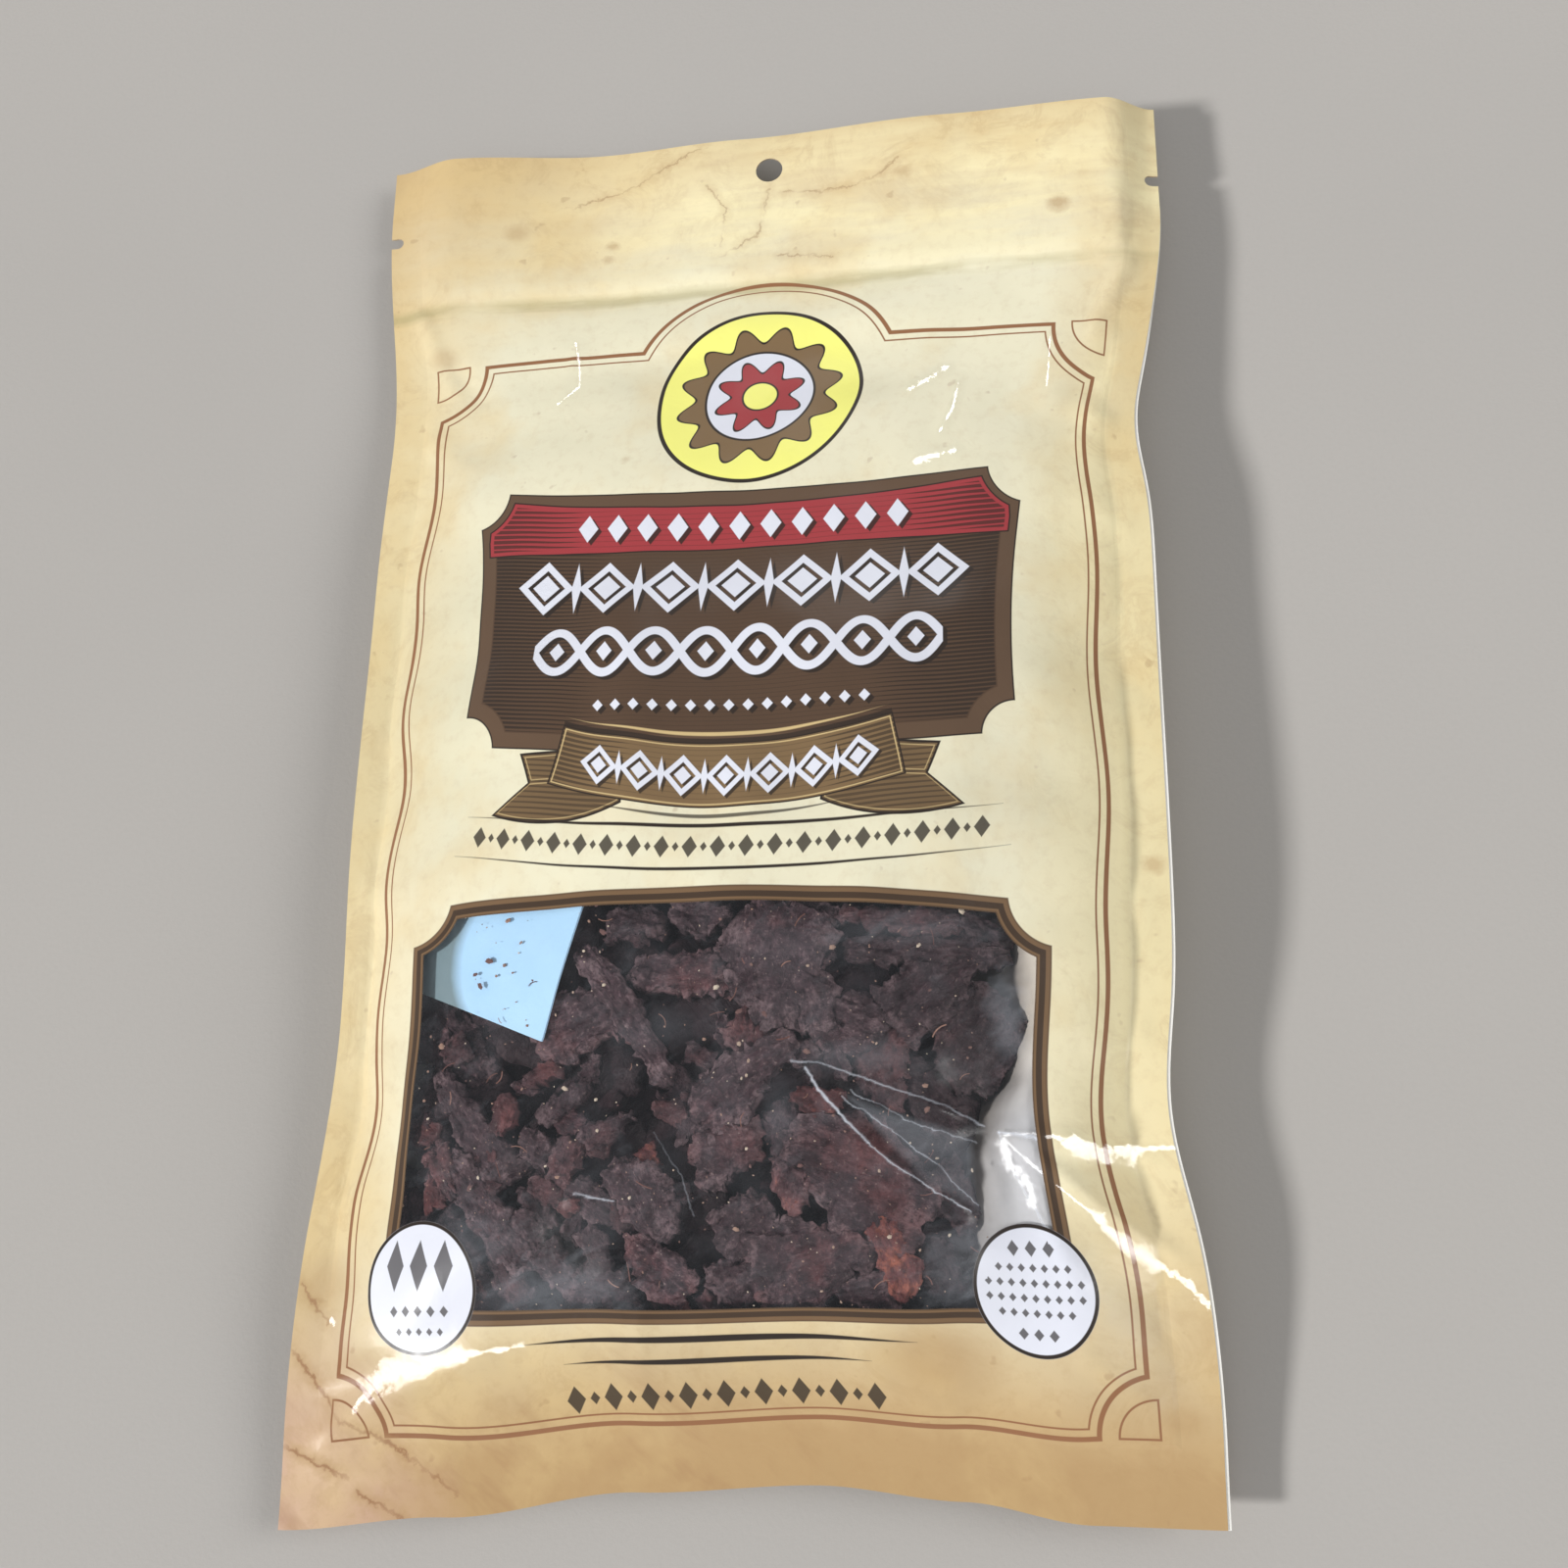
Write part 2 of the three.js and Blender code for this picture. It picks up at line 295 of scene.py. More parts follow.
class PouchSizes(bpy.types.PropertyGroup):
    """The film sheet before it is filled, and how full the pouch is."""

    width: bpy.props.FloatProperty(
        name="Width", description="Across the flat sheet", default=0.190, unit="LENGTH")
    height: bpy.props.FloatProperty(
        name="Height", description="Up the flat sheet", default=0.318, unit="LENGTH")
    side_seal: bpy.props.FloatProperty(
        name="Side weld", description="Width of each side weld", default=0.008, unit="LENGTH")
    bottom_seal: bpy.props.FloatProperty(
        name="Bottom weld", description="Height of the bottom weld", default=0.015, unit="LENGTH")
    zip_low: bpy.props.FloatProperty(
        name="Strip foot", description="Foot of the press-to-close strip", default=0.279, unit="LENGTH")
    zip_high: bpy.props.FloatProperty(
        name="Strip top", description="Top of the press-to-close strip", default=0.290, unit="LENGTH")
    belly: bpy.props.FloatProperty(
        name="Belly", description="Greatest stand-off of each sheet", default=0.024, unit="LENGTH")
    film: bpy.props.FloatProperty(
        name="Rim", description="Both sheets together at the rim", default=0.0004, unit="LENGTH")
    wall: bpy.props.FloatProperty(
        name="Film", description="Thickness of one film", default=0.00015, unit="LENGTH")
    unevenness: bpy.props.FloatProperty(
        name="Unevenness", description="Height of the film's low waves", default=0.00016, unit="LENGTH")
    mesh_step: bpy.props.FloatProperty(
        name="Mesh step", description="Between two columns of the film's mesh", default=0.00125,
        unit="LENGTH")


class PrintColours(bpy.types.PropertyGroup):
    """The inks of the printed film."""

    paper: bpy.props.FloatVectorProperty(
        name="Paper", description="Parchment in the middle", subtype="COLOR", size=3,
        default=srgb(235, 229, 200))
    tan: bpy.props.FloatVectorProperty(
        name="Tan", description="Parchment towards the edges", subtype="COLOR", size=3,
        default=srgb(224, 197, 142))
    bright: bpy.props.FloatVectorProperty(
        name="Bright", description="Parchment along the head", subtype="COLOR", size=3,
        default=srgb(250, 238, 192))
    shade: bpy.props.FloatVectorProperty(
        name="Shade", description="The soft line under the closing strip", subtype="COLOR", size=3,
        default=srgb(168, 158, 112))
    scorch: bpy.props.FloatVectorProperty(
        name="Scorch", description="Parchment in the lower corners", subtype="COLOR", size=3,
        default=srgb(180, 146, 102))
    blush: bpy.props.FloatVectorProperty(
        name="Blush", description="Parchment in the lower left corner", subtype="COLOR", size=3,
        default=srgb(216, 180, 166))
    line: bpy.props.FloatVectorProperty(
        name="Frame line", description="The double line round the front", subtype="COLOR", size=3,
        default=srgb(148, 104, 72))
    label: bpy.props.FloatVectorProperty(
        name="Label", description="The label's field", subtype="COLOR", size=3,
        default=srgb(88, 68, 53))
    label_rim: bpy.props.FloatVectorProperty(
        name="Label rim", description="The label's border", subtype="COLOR", size=3,
        default=srgb(100, 79, 62))
    dark: bpy.props.FloatVectorProperty(
        name="Dark ink", description="Outlines and hatch lines", subtype="COLOR", size=3,
        default=srgb(48, 40, 35))
    red: bpy.props.FloatVectorProperty(
        name="Red", description="The band across the label", subtype="COLOR", size=3,
        default=srgb(164, 62, 66))
    ribbon: bpy.props.FloatVectorProperty(
        name="Ribbon", description="The ribbon under the label", subtype="COLOR", size=3,
        default=srgb(128, 104, 74))
    gold: bpy.props.FloatVectorProperty(
        name="Gold", description="The rosette's field", subtype="COLOR", size=3,
        default=srgb(250, 248, 134))
    band: bpy.props.FloatVectorProperty(
        name="Band", description="The window's band", subtype="COLOR", size=3,
        default=srgb(122, 96, 70))
    band_line: bpy.props.FloatVectorProperty(
        name="Band line", description="The dark line along the window's band", subtype="COLOR",
        size=3, default=srgb(72, 57, 45))
    white: bpy.props.FloatVectorProperty(
        name="White", description="Ovals and ornaments", subtype="COLOR", size=3,
        default=srgb(226, 228, 238))


class ContentsSizes(bpy.types.PropertyGroup):
    """What the pouch holds."""

    thickness: bpy.props.FloatProperty(
        name="Strip thickness", description="Thickness of a dried strip", default=0.0058,
        unit="LENGTH")
    clearance: bpy.props.FloatProperty(
        name="Clearance", description="Between the strips and the film", default=0.0003,
        unit="LENGTH")
    small: bpy.props.IntProperty(
        name="Small pieces", description="Torn bits between the strips", default=66)
    grains: bpy.props.IntProperty(
        name="Grains", description="Spice grains under the window", default=420)
    shreds: bpy.props.IntProperty(
        name="Shreds", description="Loose meat fibres under the window", default=34)
    beef: bpy.props.FloatVectorProperty(
        name="Beef", description="The dried meat's middle colour", subtype="COLOR", size=3,
        default=srgb(80, 57, 63))


class StageSettings(bpy.types.PropertyGroup):
    """Floor, light and camera."""

    floor: bpy.props.FloatVectorProperty(
        name="Floor", description="The floor's colour", subtype="COLOR", size=3,
        default=srgb(180, 176, 171))
    lamps: bpy.props.FloatProperty(
        name="Lamps", description="Strength of all the lamps", default=1.0)
    fill: bpy.props.FloatProperty(
        name="Fill", description="Strength of the light from all round", default=0.28)
    lens: bpy.props.FloatProperty(
        name="Lens", description="Focal length for a 36 mm sensor, in millimetres", default=39.375)


class Field:
    """A number that varies over a surface, and that sums can be written with."""

    def __init__(self, graph, socket):
        self.graph = graph
        self.socket = socket

    def done(self, operation, *others, clamped=False):
        return self.graph.math(operation, self, *others, clamped=clamped)

    def __add__(self, other):
        return self.done("ADD", other)

    def __sub__(self, other):
        return self.done("SUBTRACT", other)

    def __mul__(self, other):
        return self.done("MULTIPLY", other)

    def __truediv__(self, other):
        return self.done("DIVIDE", other)

    def __rsub__(self, other):
        return self.graph.math("SUBTRACT", other, self)

    def __neg__(self):
        return self.done("MULTIPLY", -1.0)

    def __abs__(self):
        return self.done("ABSOLUTE")

    def squared(self):
        return self.done("MULTIPLY", self)

    def sine(self):
        return self.done("SINE")

    def between(self, low, high):
        """0 at low and below, 1 at high and above, with a straight rise."""
        return self.done("MULTIPLY_ADD", 1 / (high - low), -low / (high - low), clamped=True)

    def within(self, reach):
        """How far this is past reach, on either side of nothing."""
        return abs(self) - reach


class Graph:
    """A material's nodes, made by calls that read like sums."""

    def __init__(self, name):
        self.material = bpy.data.materials.new(name)
        self.material.use_nodes = True
        self.tree = self.material.node_tree
        self.tree.nodes.clear()
        self.output = self.node("ShaderNodeOutputMaterial")

    def node(self, kind, **settings):
        made = self.tree.nodes.new(kind)
        for name, value in settings.items():
            setattr(made, name, value)
        return made

    def fed(self, kind, **sockets):
        """A node with values or links in its sockets, which are named with _ for a space."""
        made = self.node(kind)
        for name, value in sockets.items():
            self.feed(made.inputs[name.replace("_", " ")], value)
        return made

    def feed(self, socket, value):
        if isinstance(value, Field):
            value = value.socket
        if isinstance(value, bpy.types.NodeSocket):
            self.tree.links.new(value, socket)
        elif hasattr(value, "__len__") and len(value) == 3 and len(socket.default_value) == 4:
            socket.default_value = (*value, 1.0)
        else:
            socket.default_value = value

    def math(self, operation, *inputs, clamped=False):
        made = self.node("ShaderNodeMath", operation=operation, use_clamp=clamped)
        for socket, value in zip(made.inputs, inputs):
            self.feed(socket, value)
        return Field(self, made.outputs[0])

    def least(self, first, *others):
        for other in others:
            first = self.math("MINIMUM", first, other)
        return first

    def most(self, first, *others):
        for other in others:
            first = self.math("MAXIMUM", first, other)
        return first

    def reach(self, u, v):
        """Distance of (u, v) from nothing."""
        return (u.squared() + v.squared()).done("SQRT")

    def inside(self, distance, soft=0.16):
        """1 where distance is below nothing and 0 above it, with a soft edge."""
        return distance.done("MULTIPLY_ADD", -1 / soft, 0.5, clamped=True)

    def paint(self, under, share, over):
        made = self.node("ShaderNodeMix", data_type="RGBA")
        self.feed(made.inputs[0], share)
        self.feed(made.inputs[6], under)
        self.feed(made.inputs[7], over)
        return made.outputs[2]

    def coats(self, colour, *rows):
        """Paints one coat after another over a colour, each given as its share and its ink."""
        for share, ink in rows:
            colour = self.paint(colour, share, ink)
        return colour

    def place(self, kind="UV", name=None):
        """Coordinates on the piece: its own UV map or attribute, or its object space."""
        if kind == "UV":
            return self.node("ShaderNodeUVMap", uv_map=name).outputs[0]
        if kind == "ATTRIBUTE":
            return self.node("ShaderNodeAttribute", attribute_name=name).outputs["Vector"]
        return self.node("ShaderNodeTexCoord").outputs["Object"]

    def scaled(self, place, scale):
        return self.fed("ShaderNodeMapping", Vector=place, Scale=scale).outputs[0]

    def parts(self, place):
        made = self.node("ShaderNodeSeparateXYZ")
        self.feed(made.inputs[0], place)
        return [Field(self, socket) for socket in made.outputs]

    def joined(self, x, y, z=0.0):
        made = self.node("ShaderNodeCombineXYZ")
        for socket, value in zip(made.inputs, (x, y, z)):
            self.feed(socket, value)
        return made.outputs[0]

    def noise(self, place, scale, detail=3.0, roughness=0.55, distortion=0.0):
        made = self.fed(
            "ShaderNodeTexNoise", Vector=place, Scale=scale, Detail=detail, Roughness=roughness,
            Distortion=distortion)
        return Field(self, made.outputs[0])

    def bump(self, height, strength, distance):
        made = self.fed("ShaderNodeBump", Height=height, Strength=strength, Distance=distance)
        return made.outputs[0]

    def shader(self, **sockets):
        return self.fed("ShaderNodeBsdfPrincipled", **sockets).outputs[0]

    def blended(self, share, first, second):
        made = self.node("ShaderNodeMixShader")
        for socket, value in zip(made.inputs, (share, first, second)):
            self.feed(socket, value)
        return made.outputs[0]

    def finish(self, surface):
        self.feed(self.output.inputs["Surface"], surface)
        return self.material


SHEET_MAP = "sheet"  # the films' UV map, in which one unit is the sheet's height
FILM_IOR, MEAT_IOR, PAPER_IOR, GLOSS_IOR = 1.45, 1.45, 1.45, 1.5
FILM_COAT, FACET_COAT = 0.15, 0.65  # of the gloss all over, and what a flat facet adds

# The print's places in (s, t), in millimetres
FRAME_SIDE, FRAME_TOP, FRAME_FOOT = 82.5, 258.6, 12.9
# Each BOW is how far an edge rises from its middle and how far out it has risen so
FRAME_FOOT_BOW = (2.7, 72)
FRAME_ARCH = (0.5, 240.5, 36.0)  # s, t and radius of the arch over the rosette
HEAD_NOTCH = (86.5, 258.8, 15.0)
FOOT_NOTCH = (84.5, 16.2, 11.9)
ROSETTE = (0.4, 241.5, 25.6)
LABEL_TOP, LABEL_FOOT, LABEL_BOW = 214.0, 150.3, (4.6, 58.7)
LABEL_WAIST, LABEL_MIDDLE, LABEL_SIDE_BOW = 62.4, 175, (3, 35)
LABEL_NOTCHES = [(67.0, 218.6, 8.4), (63.4, 154.2, 7.9)]
RED_SIDE, RED_TOP, RED_FOOT = 62.6, 210.0, 199.4
RED_TOP_BOW, RED_FOOT_BOW, RED_HATCH_BOW = (5.6, 56), (3.4, 62), (4.4, 60)
RIBBON_TOP, RIBBON_FOOT, RIBBON_SAG = 158.4, 144.4, 6.2
WINDOW_SIDE, WINDOW_TOP, WINDOW_FOOT = 71.2, 120.4, 35.1
WINDOW_TOP_BOW, WINDOW_FOOT_BOW, WINDOW_SHIFT = (-1.3, 62), (1.75, 50), -0.5
# s and t of the notches in the window's upper corners, and the reach across and up, left and right
WINDOW_NOTCH = (72.8, 121.8, (12.0, 9.2), (10.6, 10.6))
WINDOW_BAND = 3.1
BAND_MIDDLE, OVAL_OVERLAP = 1.6, 2.0  # how far inside the band and the ovals the clear film's piece ends
OVAL = (62.7, 44.4, (13.2, 13.1), (11.8, 13.3))  # s, t and the reach across and up, left and right
ROW_BOW = (5.5, 61)  # of the row of lozenges above the window
# Rules between the ribbon and the foot: middle s and t, half length, half thickness, rise at the ends
RULES = [
    (0.0, 134.4, 60, 0.42, 5.2),
    (0.0, 125.3, 62, 0.34, 5.8),
    (-1.0, 31.8, 40, 0.75, 0.4),
    (-1.5, 26.9, 31, 0.65, 0.3),
]
# Where the film steps down to a side weld and to the bottom weld: the step's start and end
WELD_EDGE, BOTTOM_WELD_EDGE = (86.3, 87.3), (15.4, 14.4)
# Round stains: s, t, radius and strength
STAINS = [
    (70, 290, 2.2, 0.6), (92, 130, 2.0, 0.5), (-39, 291, 1.4, 0.5),
    (-40, 287, 1.2, 0.4), (-63, 296, 2.4, 0.4), (33, 303, 1.8, 0.35), (-88, 46, 6.0, 0.35),
    (42, 29, 9.0, 0.6), (60, 8, 10.0, 0.25), (-25, 11, 6.0, 0.3), (-82, 262, 3.0, 0.4),
    (88, 20, 3.0, 0.4), (-30, 225, 1.0, 0.3),
]
# Cracks in the parchment, as points that a jagged line runs through
CRACKS = [
    [(4, 302), (12, 300.5), (20, 301), (27, 303), (31.5, 307)],
    [(0, 303), (-2, 290.5), (-11.5, 284.5)],
    [(-15.5, 306), (-10.5, 298), (-11.5, 287.5)],
    [(-55.5, 302), (-36, 307), (-17.5, 317)],
    [(3, 283.6), (16, 281.4)],
    [(-95, 34), (-86, 25.5), (-82, 20), (-71.5, 14.5), (-57, 4)],
    [(-95, 16), (-80.5, 9)],
    [(-78.5, 6), (-68.5, 0)],
    [(-94.5, 46), (-86.5, 38.5)],
]
# Painted sheen: milky patches of the clear film that stand in for its soft reflections. Each is s, t,
# reach across and up, and strength
SHEEN_PATCHES = [
    (-34, 43, 22, 8, 0.12), (-52, 53, 14, 10, 0.07), (-22, 58, 9, 9, 0.03), (-10, 94, 14, 5, 0.03),
    (20, 109, 16, 6, 0.03), (42, 113, 22, 4, 0.08), (15, 77, 5, 10, 0.06), (32, 88, 18, 4, 0.06),
    (48, 48, 7, 12, 0.10), (62, 97, 5, 11, 0.13), (55, 52, 7, 12, 0.10),
]
# The clear film's doubled part, as corners taken clockwise, over which the painted sheen is stronger
PLEAT = [(30, 80.5), (54, 73.5), (53.5, 60.5), (45, 64.5)]
# Painted highlights along the clear film's creases: half width, strength and the points each runs
# through
CREASE_HIGHLIGHTS = [
    (0.20, 0.32, [(17, 87.6), (24, 87), (36, 83.6), (48, 79.8), (57, 76.4)]),
    (0.26, 0.65, [(20, 86), (23, 82.4), (27, 78.6), (33, 72.0)]),
    (0.18, 0.42, [(33, 72.0), (43, 65), (52, 59.8)]),
    (0.16, 0.30, [(28, 81), (36, 76), (46, 69), (54, 61)]),
    (0.14, 0.25, [(30, 82), (42, 76.4), (55, 73)]),
    (0.30, 0.60, [(60, 75), (66, 74.4), (72, 74)]),
    (0.20, 0.40, [(60, 75), (62, 67), (66, 58), (70, 50)]),
    (0.20, 0.50, [(-28, 62.0), (-24, 61.6), (-20, 60.8)]),
    (0.12, 0.12, [(-12, 74), (-6, 66), (-4, 58)]),
]
# Creases of the film that lie flat as facets: which way each set faces, and then the half width and
# the points of each line in it
PRINT_FACETS = [
    ((0.433, -0.302, 0.849), [
        (0.6, [(70, 74.4), (74, 74)]),
        (1.5, [(74, 74), (82.5, 72), (88, 72.6)]),
        (0.8, [(88, 72.6), (95, 73)]),
        (0.4, [(70, 65.2), (76.5, 59.5)]),
        (0.9, [(76.5, 59.5), (81, 54), (86.5, 50), (91.5, 47), (94.5, 42.5)]),
    ]),
    ((-0.25, -0.352, 0.902), [
        (0.6, [(-78.5, 22), (-75, 25)]),
        (1.5, [(-75, 25), (-70.5, 28)]),
        (1.8, [(-70.5, 28), (-63, 30)]),
        (1.4, [(-63, 30), (-53, 31.3)]),
        (0.7, [(-53, 31.6), (-40.5, 32)]),
        (0.5, [(-85.5, 39), (-84.5, 38)]),
    ]),
    ((0.450, -0.524, 0.723), [
        (1.1, [(38, 240.5), (42.5, 244.5), (46, 247)]),
        (0.4, [(49.5, 242.5), (49.5, 235), (47, 228)]),
        (1.3, [(42, 220), (46.5, 221.5), (50.5, 222.5)]),
        (0.3, [(70.5, 254.5), (71.5, 241)]),
    ]),
    ((-0.273, -0.623, 0.733), [
        (0.45, [(-48, 263), (-47, 257), (-46.5, 249.5), (-51.5, 244.5)]),
    ]),
]
WINDOW_FACETS = [
    ((0.433, -0.302, 0.849), [
        (0.7, [(60, 74.3), (67, 75), (71.5, 74)]),
        (0.5, [(60.5, 74), (68.5, 66.5), (72, 63.4)]),
        (1.5, [(60.5, 73.5), (62, 68.5), (65, 65), (64.5, 61.5)]),
    ]),
]


def bowed(place, bow):
    """How far an edge with this bow has risen at a place beside its middle."""
    rise, reach = bow
    share = place / reach
    return share * share * rise


def label_distance(g, s, t):
    """How far a point is outside the label, and its height along the label's sag."""
    level = t - bowed(s, LABEL_BOW)
    side = bowed(t - LABEL_MIDDLE, LABEL_SIDE_BOW) + LABEL_WAIST
    edge = g.most(abs(s) - side, level - LABEL_TOP, LABEL_FOOT - level)
    for u, v, radius in LABEL_NOTCHES:
        edge = g.most(edge, radius - g.reach(abs(s) - u, t - v))
    return edge, level


def frame_distance(g, s, t):
    """How far a point is outside the double line round the front."""
    foot = bowed(s, FRAME_FOOT_BOW) + FRAME_FOOT
    box = g.most(abs(s) - FRAME_SIDE, t - FRAME_TOP, foot - t)
    u, v, radius = FRAME_ARCH
    edge = g.least(box, g.reach(s - u, t - v) - radius)
    for u, v, radius in (HEAD_NOTCH, FOOT_NOTCH):
        edge = g.most(edge, radius - g.reach(abs(s) - u, t - v))
    return edge


def sided_ellipse(g, s, du, dv, left, right):
    """How far (du, dv) is outside an ellipse that has its own reach across and up on each side."""
    across, up = (s.between(-1, 1) * (b - a) + a for a, b in zip(left, right))
    return (g.reach(du / across, dv / up) - 1) * across


def window_edges(s, t):
    """How far a point is beside, above and below the window's band, before its corners are notched."""
    top = bowed(s, WINDOW_TOP_BOW) + (WINDOW_TOP - WINDOW_TOP_BOW[0])
    foot = bowed(s, WINDOW_FOOT_BOW) + WINDOW_FOOT
    return abs(s - WINDOW_SHIFT) - WINDOW_SIDE, t - top, foot - t


def window_distance(g, s, t):
    """How far a point is outside the window's band."""
    u, v, left, right = WINDOW_NOTCH
    notch = sided_ellipse(g, s, abs(s - WINDOW_SHIFT) - u, t - v, left, right)
    return g.most(*window_edges(s, t), -notch)


def oval_distance(g, s, t):
    """How far a point is outside the two white ovals."""
    u, v, left, right = OVAL
    return sided_ellipse(g, s, abs(s) - u, t - v, left, right)


def hatch(g, level, pitch, width):
    """1 on fine lines at equal levels, as wide as width says, from 0 to 1."""
    wave = (level * (2 * math.pi / pitch)).sine() * 0.5 + 0.5
    return (wave - 1 + width).done("MULTIPLY_ADD", 5.0, 0.5, clamped=True)


def parchment(g, s, t, inks):
    """Aged paper: pale in the middle, tan towards the edges, scorched in the lower corners and darker
    towards the foot, with painted light and shade beside the welds and left of the label, and a painted
    shade line under the closing strip.
    """
    place = g.joined(s, t)
    cloud = g.noise(place, 0.028, 4, 0.6)
    drift = cloud - 0.5
    brushed = g.noise(g.joined(s * 0.3, t * 1.5), 0.06, 4, 0.6)
    grain = g.noise(place, 0.35, 5, 0.65)
    across = (abs(s) + drift * 30).between(64, 96)
    up = (abs(t - 165) + drift * 40).between(106, 150)
    head = t.between(268, 292) * (s + drift * 60).between(-92, -20)
    corner = (g.reach((abs(s) - 100) * 0.75, t + 6) + drift * 60).between(78, 16)
    foot = (t + drift * 26 + s.between(-55, -85) * 6).between(45, 9)
    upper_edge = (t + (brushed - 0.5) * 26).between(304, 320)
    blush = (g.reach(s + 95, t) + drift * 24).between(40, 6)
    smears = g.noise(g.joined((s - t) * 0.3, s + t), 0.07, 4, 0.62).between(0.52, 0.68)
    low_left = foot * s.between(30, -10)
    head_left = t.between(262, 285) * s.between(-15, -75)
    top_left = (g.reach(s + 100, t - 324) + drift * 30).between(58, 12)
    # Painted light beside the right weld and on the right margin, and painted shade on the right weld
    # and in the field left of the label. They even out how the lamps light the film's slopes.
    painted_light_beside_weld = s.between(77, 83) * s.between(88.5, 86.5) * t.between(60, 90) * t.between(262, 245)
    painted_light_right_margin = s.between(62, 76) * t.between(40, 70) * t.between(245, 205)
    painted_shade_right_weld = s.between(85, 88) * t.between(70, 110)
    left_weld = s.between(-80, -87) * t.between(70, 110) * t.between(262, 235)
    painted_shade_left_field = s.between(-50, -64) * t.between(120, 150) * t.between(225, 190)
    blot = g.noise(place, 0.07, 5, 0.68, 0.8)
    rim = (blot.between(0.52, 0.6) - blot.between(0.6, 0.66)) * g.most(across, up, foot)
    fleck = g.noise(place, 0.22, 2, 0.5).between(0.70, 0.76)
    colour = g.coats(
        inks.paper,
        (g.most(across, up) * 0.8, inks.tan),
        (head * brushed.between(0.40, 0.58) * 0.8, inks.bright),
        # Scorched in the lower corners and darker towards the foot, partly scorched print and partly
        # painted shade.
        (g.most(corner * 0.72, foot * 0.88), inks.scorch),
        (upper_edge * 0.32, inks.scorch),
        (blush * 0.7, inks.blush),
        (smears * g.most(low_left, blush) * 0.40, inks.line),
        (head_left * (cloud + brushed).between(0.7, 1.2) * 0.7, inks.tan),
        (top_left * 0.4, inks.scorch),
        (painted_light_beside_weld * 0.55, inks.bright),
        (painted_light_right_margin * 0.5, inks.bright),
        (painted_shade_right_weld * 0.2, inks.shade),
        (left_weld * 0.2, inks.bright),
        (painted_shade_left_field * 0.14, inks.shade),
        (cloud.between(0.5, 0.7) * 0.4, inks.tan),
        (rim * 0.20, inks.scorch),
        (grain.between(0.5, 0.72) * (foot * 0.18 + 0.14), inks.scorch),
        (fleck * 0.25, inks.line),
    )
    ragged = (grain - 0.5) * 5
    for u, v, radius, strength in STAINS:
        spot = g.reach(s - u, (t - v) * 1.3) + ragged - radius
        colour = g.paint(colour, spot.between(radius * 0.7, -radius * 0.5) * strength, inks.scorch)
    # Painted shade: a broken soft dark line under the closing strip, where its lower edge shades the
    # film.
    painted_shade_under_strip = (t - 275.6 + (brushed - 0.5) * 5).within(0.6).between(1.8, 0.0)
    broken = brushed.between(0.36, 0.52)
    return g.paint(colour, painted_shade_under_strip * broken * 0.5, inks.shade), grain


def polyline_distance(g, u, v, points):
    """Distance of (u, v) from a line through points."""
    gaps = []
    for (s0, t0), (s1, t1) in zip(points, points[1:]):
        long = math.hypot(s1 - s0, t1 - t0)
        along = (u - s0) * ((s1 - s0) / long**2) + (v - t0) * ((t1 - t0) / long**2)
        along = along.done("MULTIPLY", 1.0, clamped=True)
        gaps.append(g.reach(u - s0 - along * (s1 - s0), v - t0 - along * (t1 - t0)))
    return g.least(*gaps)


def nearest_line(g, u, v, lines):
    """Distance of (u, v) from the nearest of several lines."""
    return g.least(*[polyline_distance(g, u, v, points) for points in lines])


def cracks(g, colour, s, t, inks):
    """Jagged cracks, each a broken dark line with a faint smudge beside it."""
    place = g.joined(s, t)
    u = s + (g.noise(place, 0.5, 3, 0.6) - 0.5) * 3.2
    v = t + (g.noise(g.joined(t, s), 0.5, 3, 0.6) - 0.5) * 3.2
    nearest = nearest_line(g, u, v, CRACKS)
    fades = g.noise(place, 0.12, 2, 0.5).between(0.34, 0.58)
    low = t.between(110, 60)
    colour = g.paint(colour, nearest.between(2.4, 0.2) * fades * (low * 0.3 + 0.25), inks.scorch)
    line = g.inside(nearest - 0.18 - low * 0.15, 0.45) * (fades * 0.48 + low * 0.15 + 0.06)
    return g.paint(colour, line, inks.line)


def frame_lines(g, colour, s, t, inks):
    """The double line round the front, and the quarter rings in its notched corners."""
    edge = frame_distance(g, s, t)
    lines = [(edge + 0.5).within(0.5), (edge + 2.5).within(0.2)]
    for (_, v, _), side, way, radius in ((HEAD_NOTCH, 84.2, 1, 8.6), (FOOT_NOTCH, 83.6, -1, 7.7)):
        ring = g.reach(abs(s) - side, t - v) - radius
        lines.append(g.most(ring, abs(s) - side, (t - v) * way).within(0.22))
    return g.coats(colour, *((g.inside(line), inks.line) for line in lines))


def rosette(g, colour, s, t, inks):
    """A plain seal of rays and rings."""
    u, v, radius = ROSETTE
    du, dv = s - u, t - v
    far = g.reach(du, dv)
    angle = g.math("ARCTAN2", dv, du)
    rays = far + (angle * 12).done("COSINE") * 2.2
    petals = far + (angle * 8).done("COSINE") * 2.0
    rings = [
        (far, radius, inks.dark), (far, radius - 1.0, inks.gold),
        (rays, 18.6, inks.dark), (rays, 18.0, inks.ribbon),
        (far, 13.8, inks.dark), (far, 13.2, inks.white),
        (petals, 9.6, inks.dark), (petals, 9.0, inks.red),
        (far, 4.6, inks.dark), (far, 4.1, inks.gold),
    ]
    return g.coats(colour, *((g.inside(distance - edge), ink) for distance, edge, ink in rings))


